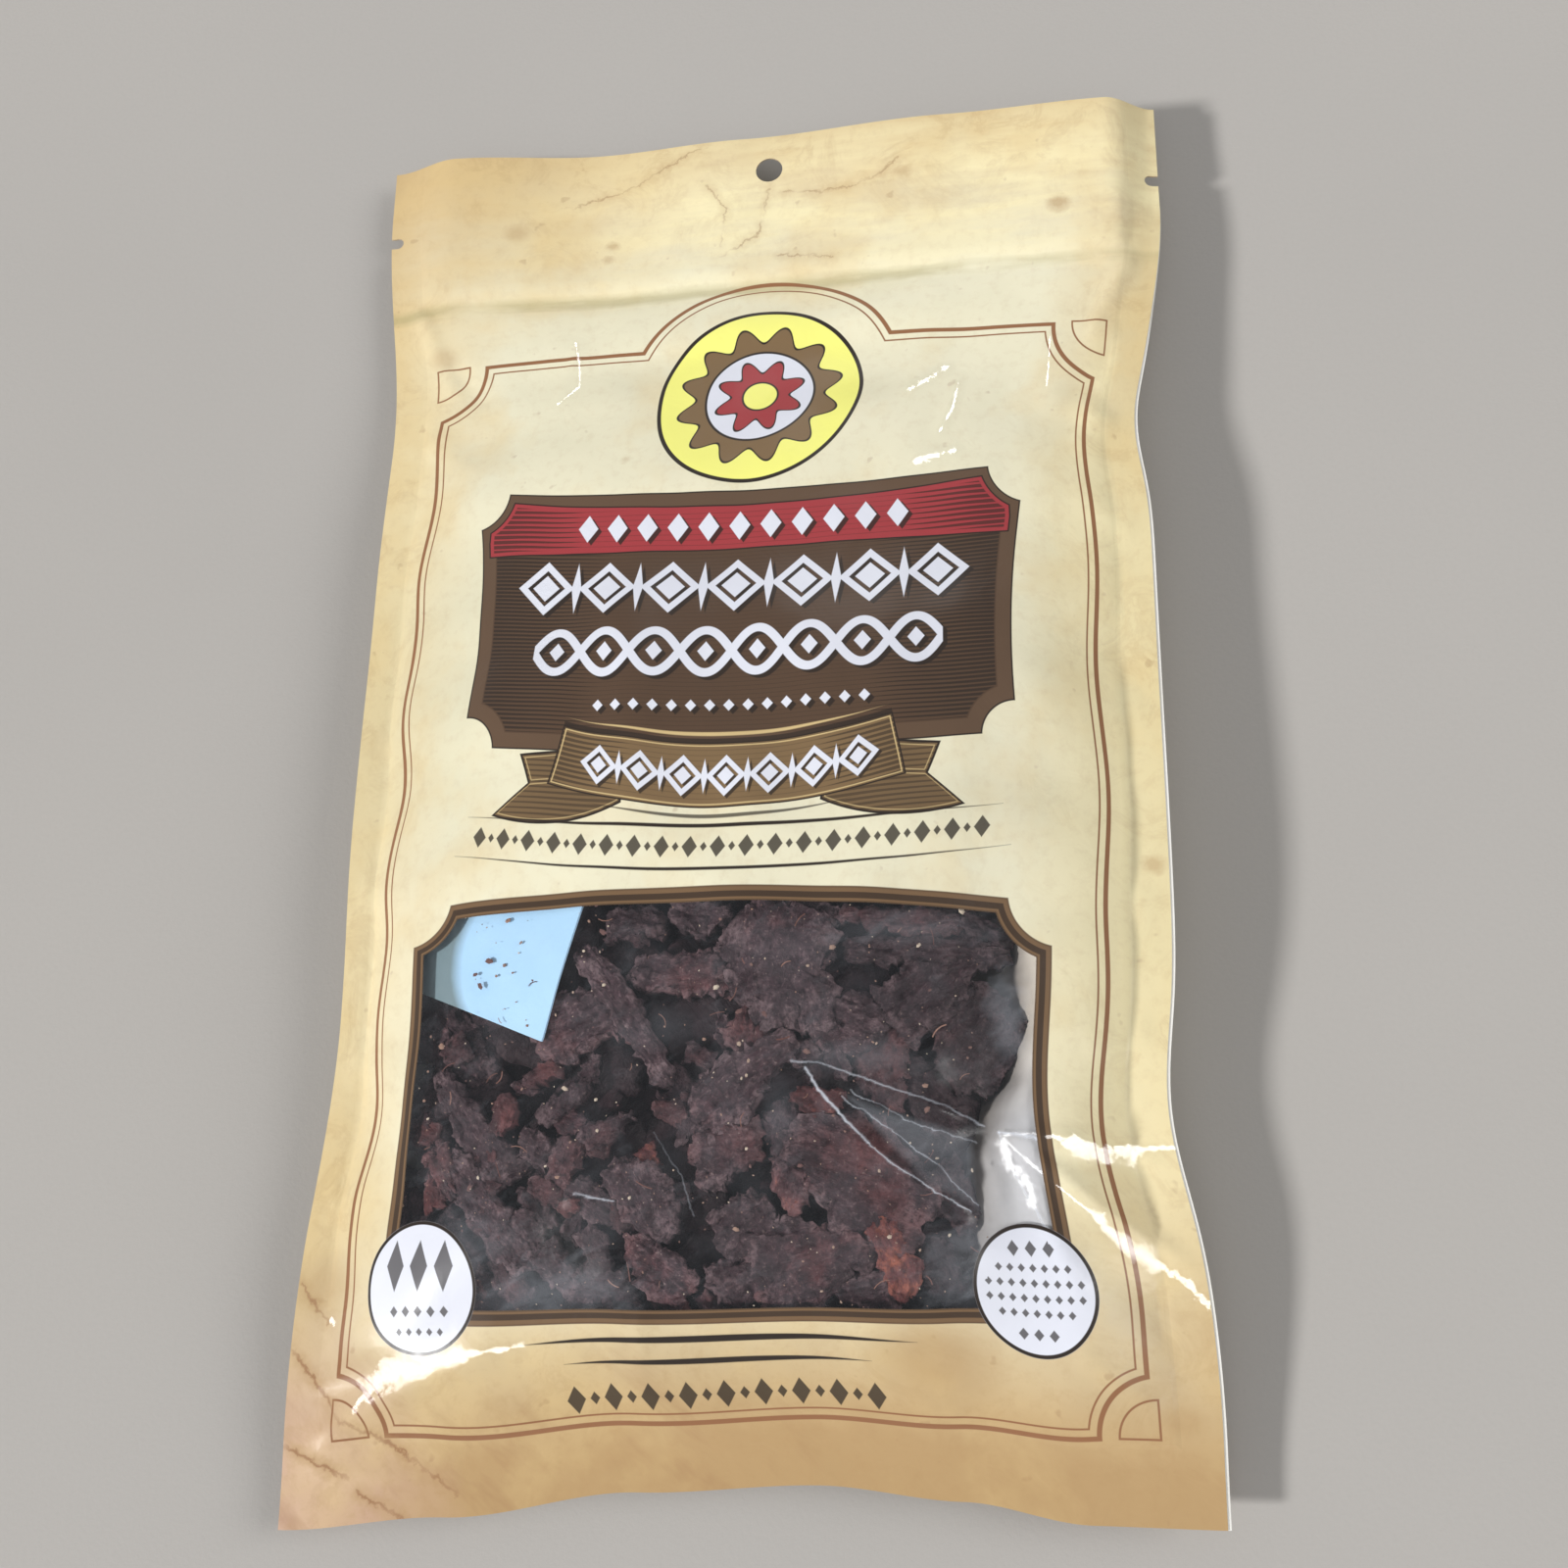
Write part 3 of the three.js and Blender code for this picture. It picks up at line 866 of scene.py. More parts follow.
def lozenges(g, s, level, middle, pitch, wide, tall, limit, shift=0.0):
    """How far a point is outside a row of lozenges, one at s = -shift and the rest a pitch apart."""
    cell = (pitch / 2) - g.math("PINGPONG", s + (pitch / 2 + shift), pitch / 2)
    shape = (cell / wide + abs(level - middle) / tall - 1) * (wide * tall / math.hypot(wide, tall))
    return g.most(shape, abs(s) - limit)


def hollow(shape, thick):
    """A band of twice thick just inside the edge of a shape."""
    return abs(shape + thick) - thick


def braid(g, s, level, middle, rise, pitch, thick, limit):
    """How far a point is outside two strands that cross again and again."""
    turn = s * (2 * math.pi / pitch)
    wave = turn.sine() * rise
    steep = (turn.done("COSINE") * (rise * 2 * math.pi / pitch)).squared() + 1
    slope = steep.done("SQRT")
    first = abs(level - middle - wave) / slope
    second = abs(level - middle + wave) / slope
    return g.most(g.least(first, second) - thick, abs(s) - limit)


def label(g, colour, s, t, inks):
    """The brown label with its red band, hatched ends and ornament."""
    edge, level = label_distance(g, s, t)
    side = abs(s)
    on_label = g.inside(edge)
    field = g.paint(inks.label_rim, g.inside(edge + 3.6), inks.label)
    fine = hatch(g, level, 0.98, side.between(30, 58) * 0.8) * g.inside(edge + 3.9)
    band_top = t - bowed(s, RED_TOP_BOW) - RED_TOP
    band_foot = RED_FOOT - t + bowed(s, RED_FOOT_BOW)
    red_edge = g.most(band_top, band_foot, side - RED_SIDE, edge + 2.2)
    red_hatch = hatch(g, t - bowed(s, RED_HATCH_BOW), 1.3, side.between(38, 58) * 0.8)
    field = g.coats(
        field,
        (fine * 0.8, inks.dark),
        (g.inside(red_edge - 0.35), inks.dark),
        (g.inside(red_edge), inks.red),
        (red_hatch * g.inside(red_edge + 0.9) * 0.75, inks.dark),
    )
    for shift, ink, strength in ((1.0, inks.dark, 0.9), (0.0, inks.white, 1.0)):
        u, v = s - shift, level + shift * 0.8
        shapes = g.least(
            lozenges(g, u, v, 205.0, 7.4, 2.5, 3.5, 40.7),
            hollow(lozenges(g, u, v, 189.6, 15.4, 7.1, 6.8, 54.0), 0.8),
            lozenges(g, u, v, 189.6, 15.4, 3.4, 3.3, 54.0),
            lozenges(g, u, v, 189.6, 15.4, 1.2, 6.4, 46.2, 7.7),
            braid(g, u, v, 173.2, 5.0, 23.6, 1.0, 47.2),
            lozenges(g, u, v, 173.2, 11.8, 1.9, 2.3, 47.2, 5.9),
            lozenges(g, u, v, 160.6, 4.3, 1.25, 1.3, 32.25),
        )
        field = g.paint(field, g.inside(shapes) * strength, ink)
    field = g.paint(field, g.inside(edge.within(0.35)), inks.dark)
    return g.paint(colour, on_label, field)


def ribbon(g, colour, s, t, inks):
    """The ribbon that hangs across the label's foot, with its two tails behind it."""
    side = abs(s + 0.8)
    tail_side = side - 44.4
    upper = g.most(tail_side - (t - 145.5) * 0.4, t - 152.2, 145.3 - t, 36 - side)
    curve = ((side - 38) / 15).squared() * 3 + 136.3
    lower = g.most(tail_side - (145.5 - t) * 1.26, curve - t, t - 146, 22 - side)
    tails = g.least(upper, lower)
    waves = hatch(g, t - side * 0.12, 1.2, side.between(60, 28) * 0.6)
    field = g.coats(
        inks.ribbon,
        (0.15, inks.dark),
        (waves * 0.55, inks.dark),
        (g.inside((tails + 0.8).within(0.12)) * 0.6, inks.tan),
        (g.inside(tails.within(0.32)), inks.dark),
    )
    colour = g.paint(colour, g.inside(tails - 0.2), field)

    sagged = ((s + 1) / 38).squared() * -1 + 1
    level = t + sagged * RIBBON_SAG
    for middle, reach, ink in ((RIBBON_TOP + 1.9, 33, inks.tan), (RIBBON_FOOT - 1.8, 28, inks.dark)):
        crescent = abs(level - middle) - (((s + 1) / reach).squared() * -1 + 1) * 0.42
        colour = g.paint(colour, g.inside(crescent, 0.24) * 0.85, ink)
    ends = side - ((RIBBON_TOP - level) * 0.21 + 37)
    front = g.most(ends, level - RIBBON_TOP, RIBBON_FOOT - level)
    fine = hatch(g, level, 1.15, ends.between(-17, -1) * 0.75)
    edging = g.inside((front + 0.75).within(0.14))
    field = g.coats(inks.ribbon, (fine * 0.65, inks.dark), (edging * 0.8, inks.tan))
    for shift, ink, strength in ((0.7, inks.dark, 0.85), (0.0, inks.white, 1.0)):
        u, v = s - shift, level + shift * 0.8
        beads = g.least(
            hollow(lozenges(g, u, v, 151.2, 9.6, 4.5, 4.4, 33.6), 0.55),
            lozenges(g, u, v, 151.2, 9.6, 1.9, 1.9, 33.6),
            lozenges(g, u, v, 151.2, 9.6, 0.8, 3.6, 28.8, 4.8),
        )
        field = g.paint(field, g.inside(beads) * strength, ink)
    field = g.paint(field, g.inside(front.within(0.32)), inks.dark)
    shadow = g.most(ends, level - RIBBON_TOP - 0.9, RIBBON_FOOT - level)
    colour = g.paint(colour, g.inside(shadow) * 0.8, inks.dark)
    return g.paint(colour, g.inside(front), field)


def rules(g, colour, s, t, inks):
    """Swelled rules above and below the window, with rows of small lozenges."""
    for u, v, long, thick, rise in RULES:
        across = (s - u) / long
        swell = (across.squared() * -1 + 1) * thick
        line = abs(t - v - across.squared() * rise) - swell
        colour = g.paint(colour, g.inside(g.most(line, abs(s - u) - long), 0.24), inks.dark)
    level = t - bowed(s, ROW_BOW)
    rows = g.least(
        lozenges(g, s, level, 129.9, 6.2, 1.7, 2.3, 58.9),
        lozenges(g, s, level, 129.9, 6.2, 0.75, 1.0, 55.8, 3.1),
        lozenges(g, s + 1, t, 19.4, 7.6, 1.9, 3.0, 34.2),
        lozenges(g, s + 1, t, 19.4, 7.6, 1.0, 1.4, 30.4, 3.8),
    )
    return g.paint(colour, g.inside(rows) * 0.9, inks.dark)


def oval_marks(g, s, t):
    """How far a point is outside the rows of lozenges on the two ovals."""
    u, v = OVAL[:2]
    left, right = s + u, s - u
    marks = g.least(
        lozenges(g, left, t, v + 4.4, 6.0, 2.2, 5.0, 9.0),
        lozenges(g, left, t, v - 4.4, 3.0, 0.95, 1.1, 7.5),
        lozenges(g, left, t, v - 8.4, 2.4, 0.7, 0.8, 6.0),
        lozenges(g, right, t, v + 8.4, 3.4, 1.1, 1.6, 5.1),
        lozenges(g, right, t, v - 8.6, 2.9, 0.95, 1.2, 4.35),
    )
    for lift, limit in ((4.6, 7.7), (1.6, 9.9), (-1.4, 9.9), (-4.4, 7.7)):
        marks = g.least(marks, lozenges(g, right, t, v + lift, 2.2, 0.7, 0.85, limit))
    return marks


def window_band(g, colour, s, t, inks):
    """The window's band and the two ovals on its lower corners, and where the film is clear."""
    edge = window_distance(g, s, t)
    oval = oval_distance(g, s, t)
    colour = g.coats(
        colour,
        (g.inside(edge), inks.band),
        (g.inside((edge + 0.1).within(0.2)) * 0.6, inks.label),
        (g.inside((edge + 1.75).within(0.62)), inks.band_line),
        (g.inside((edge + 2.95).within(0.14)) * 0.6, inks.band_line),
        (g.inside(oval), inks.white),
        (g.inside((oval + 0.35).within(0.36)), inks.dark),
    )
    clear = g.inside(edge + WINDOW_BAND) * g.inside(-oval)
    return colour, clear


def sheet_place(g, sizes):
    """s and t of a point of the film, in millimetres."""
    u, v, _ = g.parts(g.place("UV", SHEET_MAP))
    tall = sizes.height / MM
    return (u - 0.5) * tall, v * tall


def film_relief(g, s, t, grain):
    """The film's own fine unevenness and the inner edges of its welds."""
    place = g.joined(s, t)
    soft = g.noise(place, 0.10, 3, 0.5, 0.6)
    weld = g.most(abs(s).between(*WELD_EDGE), t.between(*BOTTOM_WELD_EDGE))
    return soft + grain * 0.05 - weld * 0.35


def facing(g, s, t, base, facets):
    """The way the film's gloss faces, as base says but flat along facets, and how flat it lies."""
    place = g.joined(s, t)
    ragged = (g.noise(place, 0.34, 4, 0.66) - 0.5) * 5.0
    shares = []
    for face, lines in facets:
        near = [
            (polyline_distance(g, s, t, points) / width + ragged).between(2.6, 0.2)
            for width, points in lines
        ]
        shares.append(g.most(*near))
        base = g.paint(base, shares[-1], g.joined(*face))
    level = g.node("ShaderNodeVectorMath", operation="NORMALIZE")
    g.feed(level.inputs[0], base)
    return level.outputs[0], g.most(*shares)


def printed_film(sizes, inks, name, front=True):
    """Parchment print with the frame lines, and on the front the whole of the print."""
    g = Graph(name)
    s, t = sheet_place(g, sizes)
    colour, grain = parchment(g, s, t, inks)
    colour = frame_lines(g, colour, s, t, inks)
    gloss = {"Coat_Weight": FILM_COAT}
    if front:
        bare = g.node("ShaderNodeNewGeometry").outputs["Normal"]
        gloss["Coat_Normal"], flat = facing(g, s, t, bare, PRINT_FACETS)
        gloss["Coat_Weight"] = flat * FACET_COAT + FILM_COAT
        for draw in (cracks, rosette, label, ribbon, rules):
            colour = draw(g, colour, s, t, inks)
        colour, _ = window_band(g, colour, s, t, inks)
        colour = g.paint(colour, g.inside(oval_marks(g, s, t)) * 0.85, inks.dark)
    relief = g.bump(film_relief(g, s, t, grain), 0.5, 0.0006)
    shader = g.shader(
        Base_Color=colour, Roughness=grain * 0.16 + 0.30, IOR=FILM_IOR, Normal=relief,
        Coat_Roughness=0.12, Coat_IOR=GLOSS_IOR, **gloss)
    return g.finish(shader)


def window_material(sizes, inks):
    """Clear film with the inner part of its printed band, and a painted sheen of milky patches and
    crease highlights that stands in for its reflections.
    """
    g = Graph("window_film")
    s, t = sheet_place(g, sizes)
    colour, clear = window_band(g, inks.paper, s, t, inks)
    print_shader = g.shader(Base_Color=colour, Roughness=0.38, IOR=FILM_IOR)
    place = g.joined(s, t)
    ripple = g.bump(g.noise(place, 0.16, 3, 0.5, 0.5), 0.3, 0.0005)
    ripple, flat = facing(g, s, t, ripple, WINDOW_FACETS)
    gloss = g.fed("ShaderNodeBsdfGlossy", Roughness=0.22, Normal=ripple)
    fresnel = g.fed("ShaderNodeFresnel", IOR=GLOSS_IOR, Normal=ripple)
    clear_film = g.node("ShaderNodeBsdfTransparent").outputs[0]
    sheen_shader = g.fed("ShaderNodeBsdfDiffuse", Color=srgb(225, 230, 240))
    cloud = g.noise(place, 0.09, 3, 0.55, 0.4)
    wisps = g.noise(g.joined(s * 0.5 + t * 0.35, t * 1.2 - s * 0.6), 0.16, 4, 0.65, 0.6)
    # Painted sheen: a pale diffuse layer mixed into the clear film, standing in for its reflections of
    # the room.
    painted_sheen = cloud.between(0.45, 0.75) * 0.025 + wisps.between(0.55, 0.8) * 0.045 + 0.018
    for u, v, across, up, strength in SHEEN_PATCHES:
        patch = g.reach((s - u) / across, (t - v) / up) + (wisps - 0.5) * 2.2
        painted_sheen = painted_sheen + patch.between(1.0, 0.1) * strength
    sides = []
    for (s0, t0), (s1, t1) in zip(PLEAT, PLEAT[1:] + PLEAT[:1]):
        long = math.hypot(s1 - s0, t1 - t0)
        sides.append((t - t0) * ((s1 - s0) / long) - (s - s0) * ((t1 - t0) / long))
    doubled = g.most(*sides) + (cloud - 0.5) * 2.0
    # More painted sheen over the doubled part.
    painted_sheen = painted_sheen + g.inside(doubled, 1.6) * (wisps * 0.12 + 0.05)
    thin = wisps.between(0.25, 0.6) * 0.7 + 0.3
    # Painted highlights along the creases.
    for width, strength, points in CREASE_HIGHLIGHTS:
        line = polyline_distance(g, s + (cloud - 0.5) * 2.5, t + (wisps - 0.5) * 2.5, points)
        painted_sheen = painted_sheen + g.inside(line - width, width * 1.6) * thin * strength
    film = g.blended(painted_sheen.done("MINIMUM", 0.9), clear_film, sheen_shader.outputs[0])
    inner_side = Field(g, g.node("ShaderNodeNewGeometry").outputs["Backfacing"])
    shine = Field(g, fresnel.outputs[0]) * (inner_side * -1.2 + 1.2) * (flat * 0.8 + 0.2)
    film = g.blended(shine, film, gloss.outputs[0])
    return g.finish(g.blended(clear, print_shader, film))


def clear_inside_material():
    """The clear film's inner face, which adds no gloss of its own."""
    g = Graph("clear_inside")
    return g.finish(g.node("ShaderNodeBsdfTransparent").outputs[0])


def inner_material(name):
    """The pale unprinted side of the film."""
    g = Graph(name)
    place = g.place("OBJECT")
    cloud = g.noise(place, 60, 3, 0.5)
    colour = g.paint(srgb(240, 238, 232), cloud.between(0.35, 0.7), srgb(226, 223, 214))
    relief = g.bump(g.noise(place, 220, 3, 0.5), 0.4, 0.0004)
    return g.finish(g.shader(Base_Color=colour, Roughness=0.34, IOR=FILM_IOR, Normal=relief))


def slack_material():
    """The slack film's pale inner side, with painted shade that greys it beside the beef."""
    g = Graph("slack_film")
    across, up, _ = g.parts(g.place("UV", SHEET_MAP))
    left, right, foot, head = SLACK_REACH
    s = across * (right - left) + left
    t = up * (head - foot) + foot
    cloud = g.noise(g.joined(s, t), 0.10, 3, 0.5)
    beside = polyline_distance(g, s, t, [(s0, t0) for t0, s0 in BEEF_EDGE]) + (cloud - 0.5) * 5
    colour = g.paint(srgb(218, 208, 194), t.between(98, 78), srgb(207, 206, 207))
    reach = t.between(80, 90) * -4.5 + 9
    # Painted shade: greyer near the beef's edge.
    colour = g.paint(srgb(128, 121, 115), (beside / reach).between(0.0, 1.0), colour)
    return g.finish(g.shader(Base_Color=colour, Roughness=0.34, IOR=FILM_IOR))


def beef_material(settings):
    """Dried meat: a fibrous grain along each piece, fine dark flecks and paler torn edges, and painted
    shade that darkens the deeper pieces and each piece's underside.
    """
    g = Graph("dried_beef")
    grain = g.place("ATTRIBUTE", "grain")
    tone, edge, light = g.parts(g.place("ATTRIBUTE", "look"))
    fibres = g.noise(g.scaled(grain, (240, 800, 800)), 1.0, 5, 0.68, 0.8)
    clouds = g.noise(grain, 260, 6, 0.68)
    broad = g.noise(grain, 75, 3, 0.55)
    fine = g.noise(grain, 1100, 4, 0.7)
    base = settings.beef
    dark = tuple(c * 0.22 for c in base)
    pale = srgb(140, 117, 120)
    rust = srgb(124, 62, 58)
    ember = srgb(174, 98, 72)
    salt = srgb(190, 168, 158)
    mottle = clouds * 0.55 + fine * 0.45
    stringy = (fibres * 0.45 + mottle * 0.55).between(0.50, 0.62)
    torn_edge = (edge + (clouds - 0.5) * 1.6).between(0.70, 1.0)
    reddish = (tone + (broad - 0.5) * 1.4 + (clouds - 0.5) * 0.8).between(0.62, 1.1)
    fiery = (tone + (clouds - 0.5) * 2.2).between(1.2, 1.6)
    colour = g.coats(
        tuple(c * 0.4 for c in base),
        (mottle.between(0.40, 0.59), base),
        (stringy * 0.5, pale),
        (torn_edge * mottle.between(0.40, 0.56) * 0.6, pale),
        (reddish * 0.6, rust),
        (fiery * 0.8, ember),
        (fine.between(0.62, 0.70) * 0.4, salt),
        (fine.between(0.42, 0.32) * 0.5, dark),
    )
    # Painted shade: each piece's light darkens it, more for deeper pieces and towards its underside.
    colour = g.paint(dark, (light + (clouds - 0.5) * 0.3).between(0.16, 0.92), colour)
    relief = g.bump(fibres * 0.6 + clouds * 0.9 + fine * 0.25, 0.9, 0.0012)
    return g.finish(g.shader(
        Base_Color=colour, Roughness=fine * 0.3 + 0.40, IOR=MEAT_IOR, Normal=relief))


def spice_material():
    """Ground spice, from dark grains to pale ones."""
    g = Graph("spice")
    tone, _, _ = g.parts(g.place("ATTRIBUTE", "look"))
    colour = g.paint(srgb(106, 76, 72), tone.between(0.1, 0.4), srgb(150, 118, 102))
    colour = g.paint(colour, tone.between(0.5, 0.9), srgb(200, 184, 164))
    relief = g.bump(g.noise(g.place("OBJECT"), 1600, 2, 0.5), 0.6, 0.0003)
    return g.finish(g.shader(Base_Color=colour, Roughness=0.7, Normal=relief))


def shred_material():
    """Loose fibres of dried meat, from dark to pale."""
    g = Graph("shreds")
    tone, _, _ = g.parts(g.place("ATTRIBUTE", "look"))
    colour = g.paint(srgb(92, 50, 44), tone, srgb(168, 126, 108))
    fine = g.noise(g.place("OBJECT"), 900, 2, 0.5)
    colour = g.paint(colour, fine.between(0.4, 0.8) * 0.5, srgb(60, 34, 32))
    return g.finish(g.shader(Base_Color=colour, Roughness=0.55, Normal=g.bump(fine, 0.5, 0.0002)))


def sachet_material():
    """Thin pale paper with faint creases, with painted shade where its corner turns down."""
    g = Graph("sachet_paper")
    across, up, _ = g.parts(g.place("UV", SHEET_MAP))
    place = g.place("OBJECT")
    cloud = g.noise(place, 90, 3, 0.5)
    colour = g.paint(srgb(180, 218, 246), cloud.between(0.3, 0.75), srgb(172, 211, 243))
    low, high = (
        [across * (far - near) + near for near, far in zip(SACHET_CORNERS[i], SACHET_CORNERS[j])]
        for i, j in ((0, 3), (1, 2)))
    s, t = (up * (b - a) + a for a, b in zip(low, high))
    # Painted shade: dull grey-green where the corner turns down.
    turned_corner_shade = (t - 108).squared() * 0.04 - s - 59.5 + (cloud - 0.5) * 2
    colour = g.paint(colour, turned_corner_shade.between(-0.8, 2.4) * 0.85, srgb(104, 118, 114))
    relief = g.bump(g.noise(place, 240, 4, 0.5), 0.35, 0.0005)
    return g.finish(g.shader(Base_Color=colour, Roughness=0.55, IOR=PAPER_IOR, Normal=relief))


def floor_material(settings):
    """A plain pale floor with a fine grain."""
    g = Graph("floor")
    place = g.place("OBJECT")
    grain = g.noise(place, 900, 3, 0.6)
    cloud = g.noise(place, 6, 3, 0.5)
    shade = tuple(c * 0.9 for c in settings.floor)
    clouded, grained = cloud.between(0.3, 0.75) * 0.5, grain.between(0.45, 0.75) * 0.25
    colour = g.coats(settings.floor, (clouded, shade), (grained, shade))
    return g.finish(g.shader(Base_Color=colour, Roughness=0.62, Normal=g.bump(grain, 0.2, 0.0003)))


def deselect():
    for obj in bpy.context.selected_objects:
        obj.select_set(False)


def only(obj):
    deselect()
    obj.select_set(True)
    bpy.context.view_layer.objects.active = obj


def points_of(obj):
    points = np.empty(len(obj.data.vertices) * 3)
    obj.data.vertices.foreach_get("co", points)
    return points.reshape(-1, 3)


def set_points(obj, points):
    obj.data.vertices.foreach_set("co", points.ravel())
    obj.data.update()


def apply_all(obj):
    only(obj)
    for modifier in list(obj.modifiers):
        bpy.ops.object.modifier_apply(modifier=modifier.name)


def edit_all(obj, operation, **settings):
    """Runs an edit-mode operator on the whole of a mesh."""
    only(obj)
    bpy.ops.object.mode_set(mode="EDIT")
    bpy.ops.mesh.select_all(action="SELECT")
    operation(**settings)
    bpy.ops.object.mode_set(mode="OBJECT")


def unit_grid(name, columns, rows):
    """A flat grid, 1 across and 1 up round the origin."""
    deselect()
    bpy.ops.mesh.primitive_grid_add(x_subdivisions=columns, y_subdivisions=rows, size=1)
    obj = bpy.context.object
    obj.name = obj.data.name = name
    return obj


def thicken(obj, thickness, offset=-1, inner=0):
    """Gives a sheet its thickness. Its inner side and rim take the material numbered inner."""
    wall = obj.modifiers.new("wall", "SOLIDIFY")
    wall.thickness = thickness
    wall.offset = offset
    wall.material_offset = inner
    wall.material_offset_rim = inner
    apply_all(obj)


def smooth(obj, degrees=50):
    only(obj)
    bpy.ops.object.shade_smooth_by_angle(angle=math.radians(degrees))


def ride(obj, replaces=False):
    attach(obj, BODY)
    if replaces:
        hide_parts(CAD_NODE)
    return obj


def sheet_grid(sheet, name, step_mm, place):
    """A flat grid with the sheet's own coordinates as its UV map, then put in place by place()."""
    obj = unit_grid(name, round(2 * sheet.half / step_mm), round(sheet.height / step_mm))
    flat = points_of(obj)
    s = flat[:, 0] * 2 * sheet.half
    t = (flat[:, 1] + 0.5) * sheet.height
    obj.data.uv_layers.active.name = SHEET_MAP
    corners = np.empty(len(obj.data.loops), dtype=np.int32)
    obj.data.loops.foreach_get("vertex_index", corners)
    across = s[corners] / sheet.height + 0.5
    up = t[corners] / sheet.height
    obj.data.uv_layers.active.data.foreach_set("uv", np.stack([across, up], 1).ravel())
    set_points(obj, place(s, t) * MM)
    return obj, s, t


def keep_faces(obj, wanted):
    """Deletes the faces that wanted, one truth for each, leaves out."""
    only(obj)
    bpy.ops.object.mode_set(mode="EDIT")
    bpy.ops.mesh.select_mode(type="FACE")
    bpy.ops.mesh.select_all(action="DESELECT")
    bpy.ops.object.mode_set(mode="OBJECT")
    obj.data.polygons.foreach_set("select", ~wanted)
    bpy.ops.object.mode_set(mode="EDIT")
    bpy.ops.mesh.delete(type="FACE")
    bpy.ops.object.mode_set(mode="OBJECT")


def in_window(s, t):
    """True for points of the sheet that the window's own piece takes, from the middle of its band."""
    def ellipse(side, place):
        u, v, left, right = place
        across, up = (np.where(s > 0, b, a) for a, b in zip(left, right))
        return (np.hypot((side - u) / across, (t - v) / up) - 1) * across

    notch = ellipse(np.abs(s - WINDOW_SHIFT), WINDOW_NOTCH)
    edge = np.maximum.reduce([*window_edges(s, t), -notch])
    return (edge < -BAND_MIDDLE) & (ellipse(np.abs(s), OVAL) > -OVAL_OVERLAP)


def punch_holes(sheet, obj):
    """Cuts the hang hole and the two tear notches."""
    high, tall = CUTTER["middle"] * MM, CUTTER["height"] * MM
    places = [(0.0, HOLE_T, HOLE_RADIUS, 0)]
    places += [(side * sheet.half, NOTCH_T, NOTCH_RADIUS, side) for side in (-1, 1)]
    tools = []
    for s, t, radius, side in places:
        x, y = (place[0] * MM for place in sheet.plan(np.array([s]), np.array([t])))
        x -= side * (NOTCH_DEPTH - radius) * MM
        deselect()
        bpy.ops.mesh.primitive_cylinder_add(
            vertices=CUTTER["sides"], radius=radius * MM, depth=tall, location=(x, y, high))
        tools.append(bpy.context.object)
        if side:
            x += side * NOTCH_DEPTH * MM
            bpy.ops.mesh.primitive_cube_add(size=1, location=(x, y, high))
            bpy.context.object.scale = (2 * NOTCH_DEPTH * MM, 2 * radius * MM, tall)
            tools.append(bpy.context.object)
    for tool in tools:
        cut = obj.modifiers.new("punch", "BOOLEAN")
        cut.operation = "DIFFERENCE"
        cut.solver = "MANIFOLD"
        cut.object = tool
    apply_all(obj)
    for tool in tools:
        bpy.data.objects.remove(tool)


class JERKYPOUCH_OT_front_film(bpy.types.Operator):
    """Makes the printed front film and the clear film of its window"""

    bl_idname = "jerkypouch.front_film"
    bl_label = "Front film"

    def execute(self, context):
        sizes, inks = context.scene.pouch_sizes, context.scene.print_colours
        sheet = Sheet(sizes)

        def place(s, t):
            x, y = sheet.plan(s, t)
            return np.stack([x, y, sheet.front(s, t)], 1)

        for name, takes_window in (("front_film", False), ("window_film", True)):
            obj, s, t = sheet_grid(sheet, name, sizes.mesh_step / MM, place)
            faces = np.empty(len(obj.data.polygons) * 4, dtype=np.int32)
            obj.data.polygons.foreach_get("vertices", faces)
            middle_s = s[faces].reshape(-1, 4).mean(1)
            middle_t = t[faces].reshape(-1, 4).mean(1)
            keep_faces(obj, in_window(middle_s, middle_t) == takes_window)
            if takes_window:
                obj.data.materials.append(window_material(sizes, inks))
                obj.data.materials.append(clear_inside_material())
            else:
                obj.data.materials.append(printed_film(sizes, inks, "printed_front"))
                obj.data.materials.append(inner_material("front_inside"))
            thicken(obj, sizes.wall, inner=1)
            if not takes_window:
                punch_holes(sheet, obj)
            smooth(obj)
            ride(obj, replaces=True)
        return {"FINISHED"}


BACK_PROUD = 0.7  # how far the back sheet stands out beyond the front one on the right
BACK_COARSER = 1.6  # the back sheet's mesh step, in steps of the front's


class JERKYPOUCH_OT_back_film(bpy.types.Operator):
    """Makes the back film, with its pale inner side"""

    bl_idname = "jerkypouch.back_film"
    bl_label = "Back film"

    def execute(self, context):
        sizes, inks = context.scene.pouch_sizes, context.scene.print_colours
        sheet = Sheet(sizes)

        def place(s, t):
            x, y = sheet.plan(s, t)
            proud = BACK_PROUD * step(sheet.half - 2, sheet.half, s) * (1 - step(230, 300, t))
            return np.stack([x + proud, y, sheet.back(s, t)], 1)

        obj, _, _ = sheet_grid(sheet, "back_film", BACK_COARSER * sizes.mesh_step / MM, place)
        edit_all(obj, bpy.ops.mesh.flip_normals)
        obj.data.materials.append(printed_film(sizes, inks, "printed_back", front=False))
        obj.data.materials.append(inner_material("back_inside"))
        thicken(obj, sizes.wall, inner=1)
        punch_holes(sheet, obj)
        smooth(obj)
        ride(obj, replaces=True)
        return {"FINISHED"}


